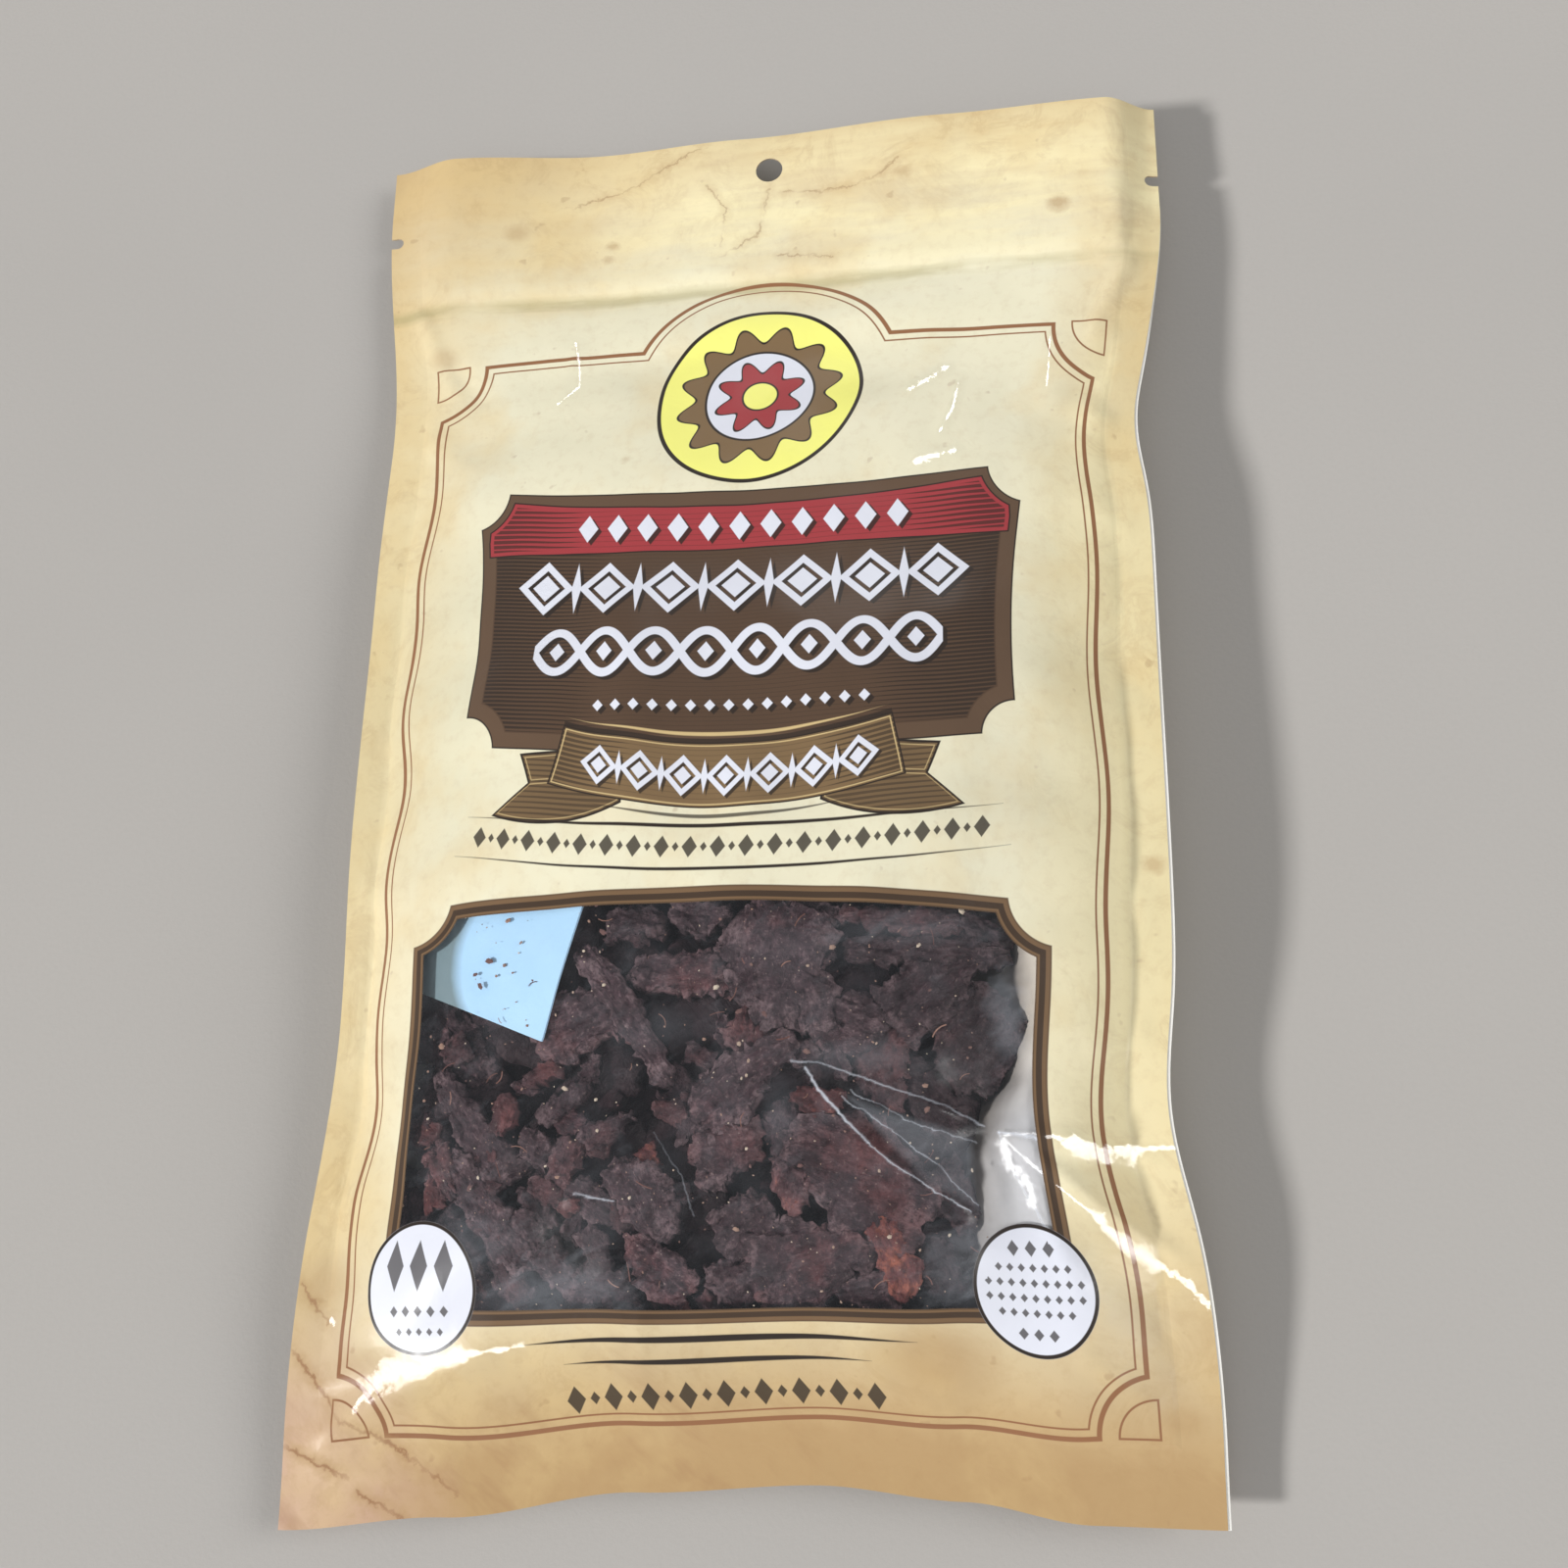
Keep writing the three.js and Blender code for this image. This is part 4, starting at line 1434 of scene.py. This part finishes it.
# The pieces that show under the window: s, t, length, width, turn in degrees, depth of the top under
# the film, how much deeper the far end lies, tone (0 brown to 1 rust and on to ember) and lightness, a
# painted shade that is lower for deeper pieces
SHOWN_PIECES = [
    (-63, 93, 25, 13, -40, 4.2, 1.0, 0.35, 0.60), (-54, 76, 28, 8, -58, 1.2, 0.6, 0.40, 0.70),
    (-66, 79, 17, 11, 80, 3.2, 0.5, 0.25, 0.40), (-60, 67, 11, 6, -58, 0.6, 0.8, 0.85, 0.80),
    (-46, 78, 9, 5.5, 65, 0.8, 0.6, 0.95, 0.75), (-38, 86, 9, 4, 15, 1.2, 0.5, 0.85, 0.70),
    (-30, 96, 20, 13, 22, 0.8, 0.8, 0.60, 0.75), (-19, 97, 33, 6, -59, 0.3, 0.3, 0.30, 0.85),
    (-18, 116, 13, 8, 10, 3.0, 0.5, 0.60, 0.60), (-7, 105, 21, 8.5, 3, 0.8, 0.4, 0.60, 0.75),
    (-3, 117, 14, 7, -8, 2.0, 0.6, 0.45, 0.60), (14, 108, 27, 21, 80, 0.3, 0.8, 0.44, 0.70),
    (8, 94, 13, 8, 75, 0.9, 0.8, 0.90, 0.70), (6, 84, 27, 11.5, 38, 0.3, 0.4, 0.46, 0.79),
    (38, 116, 26, 5.5, 3, 1.2, 0.5, 0.70, 0.57), (45, 110, 34, 6, 2, 2.0, 0.8, 0.35, 0.48),
    (57, 115, 13, 6, -28, 2.6, 0.6, 0.35, 0.44), (47, 104, 27, 11, 40, 2.0, 1.2, 0.50, 0.57),
    (56, 93, 22, 18, 62, 3.2, 0.6, 0.56, 0.46), (27, 96, 19, 12, -18, 1.2, 0.8, 0.37, 0.66),
    (37, 88, 15, 11, 60, 2.2, 0.8, 0.75, 0.53), (46, 82, 17, 12, -30, 5.0, 1.0, 0.40, 0.40),
    (22, 80, 10, 7, -30, 0.6, 0.5, 1.05, 0.66), (16, 73, 15, 8, 80, 1.6, 0.6, 0.55, 0.62),
    (3, 71, 15, 11, 10, 0.7, 0.6, 0.75, 0.70), (29, 66, 31, 20, -22, 0.3, 0.9, 0.76, 0.70),
    (16, 64, 9, 7, 75, 0.1, 0.3, 0.95, 0.79), (49, 62, 14, 9, -50, 3.0, 0.8, 0.60, 0.48),
    (-38.5, 71.5, 8, 7, -20, 0.7, 0.6, 0.55, 0.72), (-31, 68.5, 10, 6.5, 75, 0.7, 0.6, 0.72, 0.75),
    (-22.5, 75, 12, 5, 35, 1.0, 0.6, 0.55, 0.66), (-32.5, 80.5, 13, 5, 42, 1.6, 0.6, 0.35, 0.60),
    (-35.5, 63, 8, 5, -30, 0.6, 0.5, 0.85, 0.72), (-30, 60, 5, 3.5, 20, 0.5, 0.4, 0.95, 0.75),
    (-26, 61, 13, 8, -35, 1.6, 0.8, 0.50, 0.65), (-15, 62, 17, 12, -72, 0.3, 0.4, 0.42, 0.80),
    (-12, 47, 15, 10, -32, 0.3, 0.6, 0.68, 1.00), (-49, 59, 28, 7.5, -52, 0.4, 0.6, 0.40, 0.80),
    (-57, 66, 12, 5, -65, 1.6, 0.6, 0.40, 0.60), (-55, 53, 16, 6, -60, 1.4, 0.8, 0.34, 0.60),
    (-40, 54, 11, 9, -60, 1.0, 0.8, 0.34, 0.68), (-44, 47, 13, 6, -58, 1.2, 0.7, 0.45, 0.66),
    (-33, 47, 13, 7, -50, 1.2, 0.7, 0.50, 0.68), (-25, 51, 10, 6, -70, 1.6, 0.6, 0.45, 0.62),
    (-24, 43, 16, 8, 0, 2.2, 0.8, 0.40, 0.62), (-52, 43, 22, 9, -10, 2.4, 0.8, 0.38, 0.58),
    (6, 56, 13, 11, 40, 0.9, 0.6, 0.60, 0.63), (5, 44, 13, 9, 20, 0.7, 0.6, 0.60, 0.67),
    (19, 49, 25, 17, 20, 0.4, 0.8, 0.66, 0.65), (36, 50, 17, 7, -68, 0.3, 0.4, 1.25, 0.79),
    (45, 47, 15, 9, -60, 4.2, 0.8, 0.40, 0.40), (29, 42, 14, 8, 10, 1.4, 0.8, 0.57, 0.60),
    (-68, 57, 17, 9, 78, 2.6, 0.8, 0.35, 0.55),
]
FINE_FROM, SLAB_FROM = 10, 11  # from which length a piece has a fine mesh, and which width is a slab's
# Dark hollows between the pieces, which the small bits keep clear: s, t and reach
GAPS = [
    (-10, 92, 9), (-4, 63, 5), (-4, 54, 6), (-2, 46, 5), (-18, 108, 6), (-48, 91, 8), (36, 103, 6),
    (52, 46, 8), (-62, 86, 5), (11, 78, 4), (-66, 106, 10), (-56, 112, 12), (-42, 108, 12),
]
# The small bits between the pieces: where they lie, the s that two in three of them stay left of,
# and their sizes and looks, each from and to. Their light is a painted shade that darkens them.
BITS = {
    "across": (-68, 54), "mostly": 2, "up": (37, 118), "length": (5, 11), "width": (3.5, 7),
    "tone": (0.3, 1.1), "light": (0.45, 0.85), "depth": (1.0, 4.5), "dip": 0.8, "thick": (2.5, 4),
}
# The layers of beef below: how deep each lies, how many pieces it has, where, and their sizes and
# looks. Their low light is a painted shade, darker than the pieces above.
BELOW = {
    "depths": (6.5, 11.0, 17.0), "count": 30, "across": (-66, 50), "up": (28, 128),
    "length": (24, 38), "width": (14, 22), "stray": (-1.5, 1.5), "dip": 1.5, "tone": (0.1, 0.5),
    "light": (0.22, 0.42),
}
BITS_SEED, BELOW_SEED, LAYER_SEEDS = 60, 120, 40  # each piece is torn by a seed of its own
GRAIN_SHIFT = (0.37, 0.11, 0)  # from one piece to the next, so that each has a grain of its own
# The slab that all pieces are torn from: length, width, thickness and its rim's rounding
SLAB_LENGTH, SLAB_WIDTH, SLAB_THICKNESS, SLAB_RIM = 0.030, 0.016, 0.0056, 0.0012


def blank_slab(name, columns, rows):
    """A flat slab with rounded rims, 1 long, 1 wide and 1 thick, for its copies to be torn from."""
    obj = unit_grid(name, columns, rows)
    obj.scale = (SLAB_LENGTH, SLAB_WIDTH, 1)
    bpy.ops.object.transform_apply(scale=True)
    thicken(obj, SLAB_THICKNESS, offset=0)
    rim = obj.modifiers.new("rim", "BEVEL")
    rim.width = SLAB_RIM
    rim.segments = 2
    rim.limit_method = "ANGLE"
    apply_all(obj)
    points = points_of(obj)
    set_points(obj, points / (points.max(0) - points.min(0)))
    return obj


def wobble(points, size, seed, octaves=3):
    """Smooth noise in -1 to 1 at points, in millimetres, with humps of the given size."""
    shift = Vector((seed * 7.31, seed * 3.17, seed * 1.73))
    value = [noise.fractal(Vector(p) / size + shift, 0.6, 2.0, octaves) for p in points]
    return np.array(value)


def torn(unit, size, seed):
    """A unit slab's points in millimetres with a torn outline, a fibrous top and its edge's nearness."""
    length, width, thick = size
    rng = random.Random(seed)
    a, b, c = unit.T
    edge = np.maximum(np.abs(a), np.abs(b)) * 2
    taper, lean = rng.uniform(-0.45, 0.45), rng.uniform(-0.3, 0.3)
    round_x, round_y = rng.uniform(0.05, 0.28), rng.uniform(0.0, 0.35)
    x = a * length * (1 - round_x * (2 * b) ** 2)
    y = b * width * (1 - round_y * (2 * a) ** 2) * (1 + taper * 2 * a) + lean * width * a
    y = y + rng.uniform(-0.5, 0.5) * width * (a * a - 0.08)
    flat = np.stack([x, y, np.zeros_like(x)], 1)
    near_edge = step(0.35, 1.0, edge)
    broad = 0.13 * width * near_edge
    x = x + broad * wobble(flat, 6.5, seed) + near_edge * wobble(flat, 1.6, seed + 3)
    y = y + broad * wobble(flat, 6.5, seed + 9) + near_edge * wobble(flat, 1.6, seed + 5)
    ridged = np.stack([x / 5.5, y / 1.7, np.zeros_like(x)], 1)
    relief = 0.55 * wobble(ridged, 1.0, seed + 7) + 0.9 * wobble(flat, 5.0, seed + 8)
    relief = relief + 0.35 * wobble(flat, 1.6, seed + 2, 4)
    droop = 0.5 * thick * 0.5 * step(0.72, 1.05, edge)
    z = c * thick + np.where(c > 0, relief - 0.9 - droop, 0)
    return np.stack([x, y, z], 1), edge


def stamp(mesh, name, values):
    """Gives the mesh a vector for each point, for its material to read."""
    layer = mesh.attributes.new(name, "FLOAT_VECTOR", "POINT")
    layer.data.foreach_set("vector", np.asarray(values, dtype=np.float32).ravel())


def copied(pattern):
    obj = pattern.copy()
    obj.data = pattern.data.copy()
    bpy.context.scene.collection.objects.link(obj)
    return obj


def joined(objects, name):
    deselect()
    for obj in objects:
        obj.select_set(True)
    bpy.context.view_layer.objects.active = objects[0]
    bpy.ops.object.join()
    made = bpy.context.object
    made.name = made.data.name = name
    made.matrix_world = Matrix.Identity(4)
    return made


CONTENTS_SIDE, CONTENTS_FOOT = 84, 17  # how near the side and the bottom welds the contents come


class Bag:
    """The hollow between the films. Places are (s, t) of the sheet, and lengths are in millimetres."""

    def __init__(self, sizes, clearance):
        self.sheet = Sheet(sizes)
        self.clearance = clearance / MM + self.sheet.gap / 2

    def hang(self, obj, local, place, turn, depth):
        """Lays local points, whose top is at 0, under the front film at a depth, turned in plan."""
        s, t = np.array([float(place[0])]), np.array([float(place[1])])
        x0, y0 = self.sheet.plan(s, t)
        angle = math.radians(turn)
        x = x0 + local[:, 0] * math.cos(angle) - local[:, 1] * math.sin(angle)
        y = y0 + local[:, 0] * math.sin(angle) + local[:, 1] * math.cos(angle)
        s, t = self.sheet.flat(x, y)
        s, t = np.clip(s, -CONTENTS_SIDE, CONTENTS_SIDE), np.maximum(t, CONTENTS_FOOT)
        x, y = self.sheet.plan(s, t)
        high, low = self.sheet.front(s, t) - self.clearance, self.sheet.back(s, t) + self.clearance
        z = np.maximum(high - depth + np.minimum(local[:, 2], depth), np.minimum(low, high))
        set_points(obj, np.stack([x, y, z], 1) * MM)


def lay_piece(bag, pattern, seed, row, thick):
    """A copy of a slab, torn by its own seed and laid as its row of the table says."""
    s, t, length, width, turn, depth, dip, tone, light = row
    obj = copied(pattern)
    unit = points_of(obj)
    local, edge = torn(unit, (length, width, thick), seed)
    local[:, 2] -= thick / 2 + dip * (unit[:, 0] + 0.5)
    bag.hang(obj, local, (s, t), turn, depth)
    stamp(obj.data, "grain", local * MM + seed * np.array(GRAIN_SHIFT))
    # Painted shade: the piece's light, lower towards its underside.
    painted_shading = np.full(len(unit), light) * (0.35 + 0.65 * step(-0.5, 0.35, unit[:, 2]))
    stamp(obj.data, "look", np.stack([np.full(len(unit), tone), clamp(edge), painted_shading], 1))
    return obj


class JERKYPOUCH_OT_beef(bpy.types.Operator):
    """Lays the strips and torn pieces of dried beef under the window"""

    bl_idname = "jerkypouch.beef"
    bl_label = "Dried beef"

    def execute(self, context):
        settings = context.scene.contents_sizes
        bag = Bag(context.scene.pouch_sizes, settings.clearance)
        rng = random.Random(SEEDS["beef"])
        fine, coarse = blank_slab("slab", 44, 26), blank_slab("bit", 20, 14)
        material = beef_material(settings)
        thick = settings.thickness / MM

        wide, narrow, small, deep = [], [], [], []
        for i, row in enumerate(SHOWN_PIECES):
            length, width = row[2:4]
            pattern = fine if length > FINE_FROM else coarse
            piece = lay_piece(bag, pattern, 1 + i, row, thick * rng.uniform(0.8, 1.1))
            (wide if width >= SLAB_FROM else narrow).append(piece)
        for i in range(settings.small):
            left, right = BITS["across"]
            place = rng.uniform(left, right if i % 3 == 0 else BITS["mostly"]), rng.uniform(*BITS["up"])
            if any(math.hypot(place[0] - s, place[1] - t) < reach for s, t, reach in GAPS):
                continue
            size = rng.uniform(*BITS["length"]), rng.uniform(*BITS["width"])
            look = rng.uniform(*BITS["tone"]), rng.uniform(*BITS["light"])
            lie = rng.uniform(0, 180), rng.uniform(*BITS["depth"]), BITS["dip"]
            row = (*place, *size, *lie, *look)
            small.append(lay_piece(bag, coarse, BITS_SEED + i, row, rng.uniform(*BITS["thick"])))
        for layer, depth in enumerate(BELOW["depths"]):
            for i in range(BELOW["count"]):
                s = mix(*BELOW["across"], (i * SPREAD_S + layer * 0.31) % 1)
                t = mix(*BELOW["up"], (i * SPREAD_T + layer * 0.17) % 1)
                size = rng.uniform(*BELOW["length"]), rng.uniform(*BELOW["width"])
                lie = rng.uniform(0, 180), depth + rng.uniform(*BELOW["stray"]), BELOW["dip"]
                look = rng.uniform(*BELOW["tone"]), rng.uniform(*BELOW["light"])
                seed = BELOW_SEED + layer * LAYER_SEEDS + i
                deep.append(lay_piece(bag, coarse, seed, (s, t, *size, *lie, *look), thick))
        groups = {"beef_slabs": wide, "beef_strips": narrow, "beef_bits": small, "beef_below": deep}
        for name, group in groups.items():
            piece = joined(group, name)
            piece.data.materials.clear()
            piece.data.materials.append(material)
            smooth(piece, 60)
            ride(piece)
        for pattern in (fine, coarse):
            bpy.data.objects.remove(pattern)
        return {"FINISHED"}


# The grains' sizes, from and to, and how many of each hundred have them
GRAIN_SIZES, GRAIN_SHARES = [(0.22, 0.42), (0.45, 0.85), (0.95, 1.5)], [76, 20, 4]
GRAINS_ACROSS, GRAINS_UP = (-69, 56), (37, 119)
SHREDS = {
    "across": (-66, 54), "up": (38, 118), "length": (1.2, 3.8), "width": (0.16, 0.3),
    "thick": (0.15, 0.25), "bend": (-0.4, 0.4),
}
# Flakes that lie on the sachet and on the beef: s, t and length
FLAKES = [
    (-51, 108.5, 1.9), (-54.5, 106, 1.2), (-53, 103.5, 1.6), (-38.5, 99, 1.6), (-33, 109, 1.1),
    (-40, 104, 0.8), (-24, 113, 1.7), (6, 97, 1.5), (11.5, 96.5, 1.4),
]


class JERKYPOUCH_OT_spice(bpy.types.Operator):
    """Scatters spice grains and meat fibres between the beef and the window"""

    bl_idname = "jerkypouch.spice"
    bl_label = "Spice and shreds"

    def execute(self, context):
        settings = context.scene.contents_sizes
        bag = Bag(context.scene.pouch_sizes, settings.clearance)
        rng = random.Random(SEEDS["spice"])
        deselect()
        bpy.ops.mesh.primitive_ico_sphere_add(subdivisions=2, radius=0.5)
        grain = bpy.context.object
        points = points_of(grain)
        points *= np.array([[rng.uniform(0.7, 1.2)] for _ in range(len(points))])
        set_points(grain, points)
        copies = []
        for _ in range(settings.grains):
            size = rng.uniform(*rng.choices(GRAIN_SIZES, GRAIN_SHARES)[0])
            place = rng.uniform(*GRAINS_ACROSS), rng.uniform(*GRAINS_UP)
            shape = (size, size * rng.uniform(0.55, 0.9), size * 0.5)
            copies.append(self.scatter(bag, grain, rng, place, shape))
        for s, t, size in FLAKES:
            copies.append(self.scatter(bag, grain, rng, (s, t), (size, size * 0.6, 0.35), tone=0.0))
        piece = joined(copies, "spice_grains")
        piece.data.materials.append(spice_material())
        ride(piece)

        deselect()
        lying = (0, math.pi / 2, 0)
        bpy.ops.mesh.primitive_cylinder_add(vertices=5, radius=0.5, depth=1, rotation=lying)
        bpy.ops.object.transform_apply(rotation=True)
        fibre = bpy.context.object
        edit_all(fibre, bpy.ops.mesh.subdivide, number_cuts=3)
        copies = []
        for _ in range(settings.shreds):
            place = rng.uniform(*SHREDS["across"]), rng.uniform(*SHREDS["up"])
            shape = [rng.uniform(*SHREDS[size]) for size in ("length", "width", "thick")]
            copies.append(self.scatter(bag, fibre, rng, place, shape, rng.uniform(*SHREDS["bend"])))
        piece = joined(copies, "meat_shreds")
        piece.data.materials.append(shred_material())
        ride(piece)
        for obj in (grain, fibre):
            bpy.data.objects.remove(obj)
        return {"FINISHED"}

    @staticmethod
    def scatter(bag, pattern, rng, place, size, bend=0.0, tone=None):
        """Lays a copy of a pattern under the film, turned and toned by chance."""
        obj = copied(pattern)
        unit = points_of(obj)
        local = unit * size
        local[:, 1] += bend * size[0] * (unit[:, 0] ** 2) * 2
        local[:, 2] -= size[2] / 2
        bag.hang(obj, local, place, rng.uniform(0, 360), rng.uniform(0.0, 0.4))
        tone = rng.random() if tone is None else tone
        stamp(obj.data, "look", np.tile([tone, 0, 0], (len(unit), 1)))
        return obj


# The sachet's corners (s, t) from its lowest one round, and how deep each lies under the film
SACHET_CORNERS = [(-37.5, 92.0), (-25.0, 131), (-58, 146), (-75, 105.5)]
SACHET_DEPTHS = [0.2, 0.3, 2.6, 3.2]
SACHET_PAPER, SACHET_CLEAR, SACHET_PUFF = 0.6, 0.5, 0.3  # thickness, gap under the film and swell


class JERKYPOUCH_OT_sachet(bpy.types.Operator):
    """Makes the small paper sachet that lies on the beef"""

    bl_idname = "jerkypouch.sachet"
    bl_label = "Sachet"

    def execute(self, context):
        sheet = Sheet(context.scene.pouch_sizes)
        obj = unit_grid("sachet", 36, 42)
        obj.data.uv_layers.active.name = SHEET_MAP
        unit = points_of(obj)[:, :2] + 0.5
        u, v = unit[:, :1], unit[:, 1:]
        weights = np.hstack([(1 - u) * (1 - v), (1 - u) * v, u * v, u * (1 - v)])
        place = weights @ np.array(SACHET_CORNERS)
        depth = weights @ np.array(SACHET_DEPTHS)
        x, y = sheet.plan(place[:, 0], place[:, 1])
        u, v = unit.T
        pillow = (1 - (2 * u - 1) ** 4) * (1 - (2 * v - 1) ** 4)
        top = sheet.front(place[:, 0], place[:, 1]) - SACHET_CLEAR
        z = top - depth - SACHET_PUFF * (1 - pillow)
        set_points(obj, np.stack([x, y, z], 1) * MM)
        thicken(obj, SACHET_PAPER * MM, offset=0)
        edit_all(obj, bpy.ops.mesh.normals_make_consistent, inside=False)
        obj.data.materials.append(sachet_material())
        smooth(obj, 60)
        ride(obj)
        return {"FINISHED"}


# Where the beef ends on the right, as [t, s], beside which the film's pale inner side shows
BEEF_EDGE = [[24, 52], [62, 52.5], [70, 53.5], [79, 57], [87, 62.5], [97, 65], [106, 63], [132, 60]]
SLACK_REACH = (44, 85.5, 24, 132)  # s and then t, from and to
SLACK_CLEAR, SLACK_DROP = 0.8, 24  # its gap under the front film, and how far it dives under the beef


class JERKYPOUCH_OT_slack_film(bpy.types.Operator):
    """Makes the back film's slack fold, whose pale inner side shows beside the beef"""

    bl_idname = "jerkypouch.slack_film"
    bl_label = "Slack film"

    def execute(self, context):
        sheet = Sheet(context.scene.pouch_sizes)
        obj = unit_grid("slack_film", 30, 70)
        obj.data.uv_layers.active.name = SHEET_MAP
        u, v = (points_of(obj)[:, :2] + 0.5).T
        left, right, foot, head = SLACK_REACH
        s, t = mix(left, right, u), mix(foot, head, v)
        x, y = sheet.plan(s, t)
        edge = through(BEEF_EDGE, t)
        dive = SLACK_DROP * step(edge + 6, edge - 10, s)
        gap = SLACK_CLEAR + dive + 0.25 * np.sin(t / 6 + s / 9)
        z = np.maximum(sheet.front(s, t) - gap, sheet.back(s, t) + 0.5)
        set_points(obj, np.stack([x, y, z], 1) * MM)
        thicken(obj, context.scene.pouch_sizes.wall)
        obj.data.materials.append(slack_material())
        smooth(obj, 60)
        ride(obj)
        return {"FINISHED"}


# The lamps: name, strength, which way they shine, how wide they look in degrees, and whether they
# light things or only glint in their gloss
LAMPS = [
    ("key", 2.94, (0.78, 0.31, -0.54), 7, True),
    ("right", 1.40, (-0.80, -0.12, -0.50), 35, True),
    ("foot", 0.30, (0.10, 0.55, -0.83), 30, True),
    ("head_glint", 0.20, (-0.05, -0.90, -0.42), 25, False),
    ("foot_glint", 1.30, (0.694, 0.583, -0.423), 17, False),
    ("right_glint", 1.30, (-0.785, 0.453, -0.423), 17, False),
]
ROOM_COLOUR = (0.97, 0.98, 1.0, 1.0)
FLOOR_SIZE, FLOOR_DROP = 6, 0.0002  # in metres
CAMERA_PLACE, CAMERA_TURN = (0.0517, -0.1114, 0.3687), (16.35, 6.85, 0.655)  # metres and degrees
SENSOR_WIDTH, NEAREST_SEEN = 36, 0.01  # in millimetres and in metres


class JERKYPOUCH_OT_stage(bpy.types.Operator):
    """Sets the floor, the light and the camera"""

    bl_idname = "jerkypouch.stage"
    bl_label = "Stage"

    def execute(self, context):
        settings = context.scene.stage_settings
        deselect()
        bpy.ops.mesh.primitive_plane_add(size=FLOOR_SIZE, location=(0, 0, -FLOOR_DROP))
        floor = bpy.context.object
        floor.name = "floor"
        floor.data.materials.append(floor_material(settings))

        for name, energy, towards, degrees, lights_things in LAMPS:
            light = bpy.data.lights.new(name, "SUN")
            light.energy = energy * settings.lamps
            light.angle = math.radians(degrees)
            lamp = bpy.data.objects.new(name, light)
            lamp.rotation_euler = Vector(towards).to_track_quat("-Z", "Y").to_euler()
            lamp.visible_glossy = not lights_things
            lamp.visible_diffuse = lights_things
            context.scene.collection.objects.link(lamp)

        world = bpy.data.worlds.new("room")
        world.use_nodes = True
        background = world.node_tree.nodes["Background"]
        background.inputs["Color"].default_value = ROOM_COLOUR
        background.inputs["Strength"].default_value = settings.fill
        context.scene.world = world
        context.scene.view_settings.view_transform = "Standard"

        lens = bpy.data.cameras.new("camera")
        lens.sensor_width = SENSOR_WIDTH
        lens.lens = settings.lens
        lens.clip_start = NEAREST_SEEN
        camera = bpy.data.objects.new("camera", lens)
        camera.location = CAMERA_PLACE
        camera.rotation_euler = Euler([math.radians(turn) for turn in CAMERA_TURN], "XYZ")
        context.scene.collection.objects.link(camera)
        context.scene.camera = camera
        return {"FINISHED"}


class JERKYPOUCH_PT_panel(bpy.types.Panel):
    """Lists the steps that make the pouch"""

    bl_idname = "JERKYPOUCH_PT_panel"
    bl_label = "Jerky pouch"
    bl_space_type = "VIEW_3D"
    bl_region_type = "UI"
    bl_category = "Jerky Pouch"

    def draw(self, context):
        for group in GROUPS:
            box = self.layout.box()
            settings = getattr(context.scene, group)
            for name in settings.__annotations__:
                box.prop(settings, name)
        for operator in STEPS:
            self.layout.operator(operator.bl_idname)


GROUPS = {
    "pouch_sizes": PouchSizes,
    "print_colours": PrintColours,
    "contents_sizes": ContentsSizes,
    "stage_settings": StageSettings,
}
STEPS = [
    JERKYPOUCH_OT_stage,
    JERKYPOUCH_OT_front_film,
    JERKYPOUCH_OT_back_film,
    JERKYPOUCH_OT_beef,
    JERKYPOUCH_OT_sachet,
    JERKYPOUCH_OT_slack_film,
    JERKYPOUCH_OT_spice,
]


def register():
    for cls in [*GROUPS.values(), *STEPS, JERKYPOUCH_PT_panel]:
        bpy.utils.register_class(cls)
    for name, cls in GROUPS.items():
        setattr(bpy.types.Scene, name, bpy.props.PointerProperty(type=cls))


def unregister():
    for name in GROUPS:
        delattr(bpy.types.Scene, name)
    for cls in [JERKYPOUCH_PT_panel, *reversed(STEPS), *reversed(GROUPS.values())]:
        bpy.utils.unregister_class(cls)


def main():
    register()
    bpy.ops.jerkypouch.stage()
    bpy.ops.jerkypouch.front_film()
    bpy.ops.jerkypouch.back_film()
    bpy.ops.jerkypouch.beef()
    bpy.ops.jerkypouch.sachet()
    bpy.ops.jerkypouch.slack_film()
    bpy.ops.jerkypouch.spice()


if __name__ == "__main__":
    main()
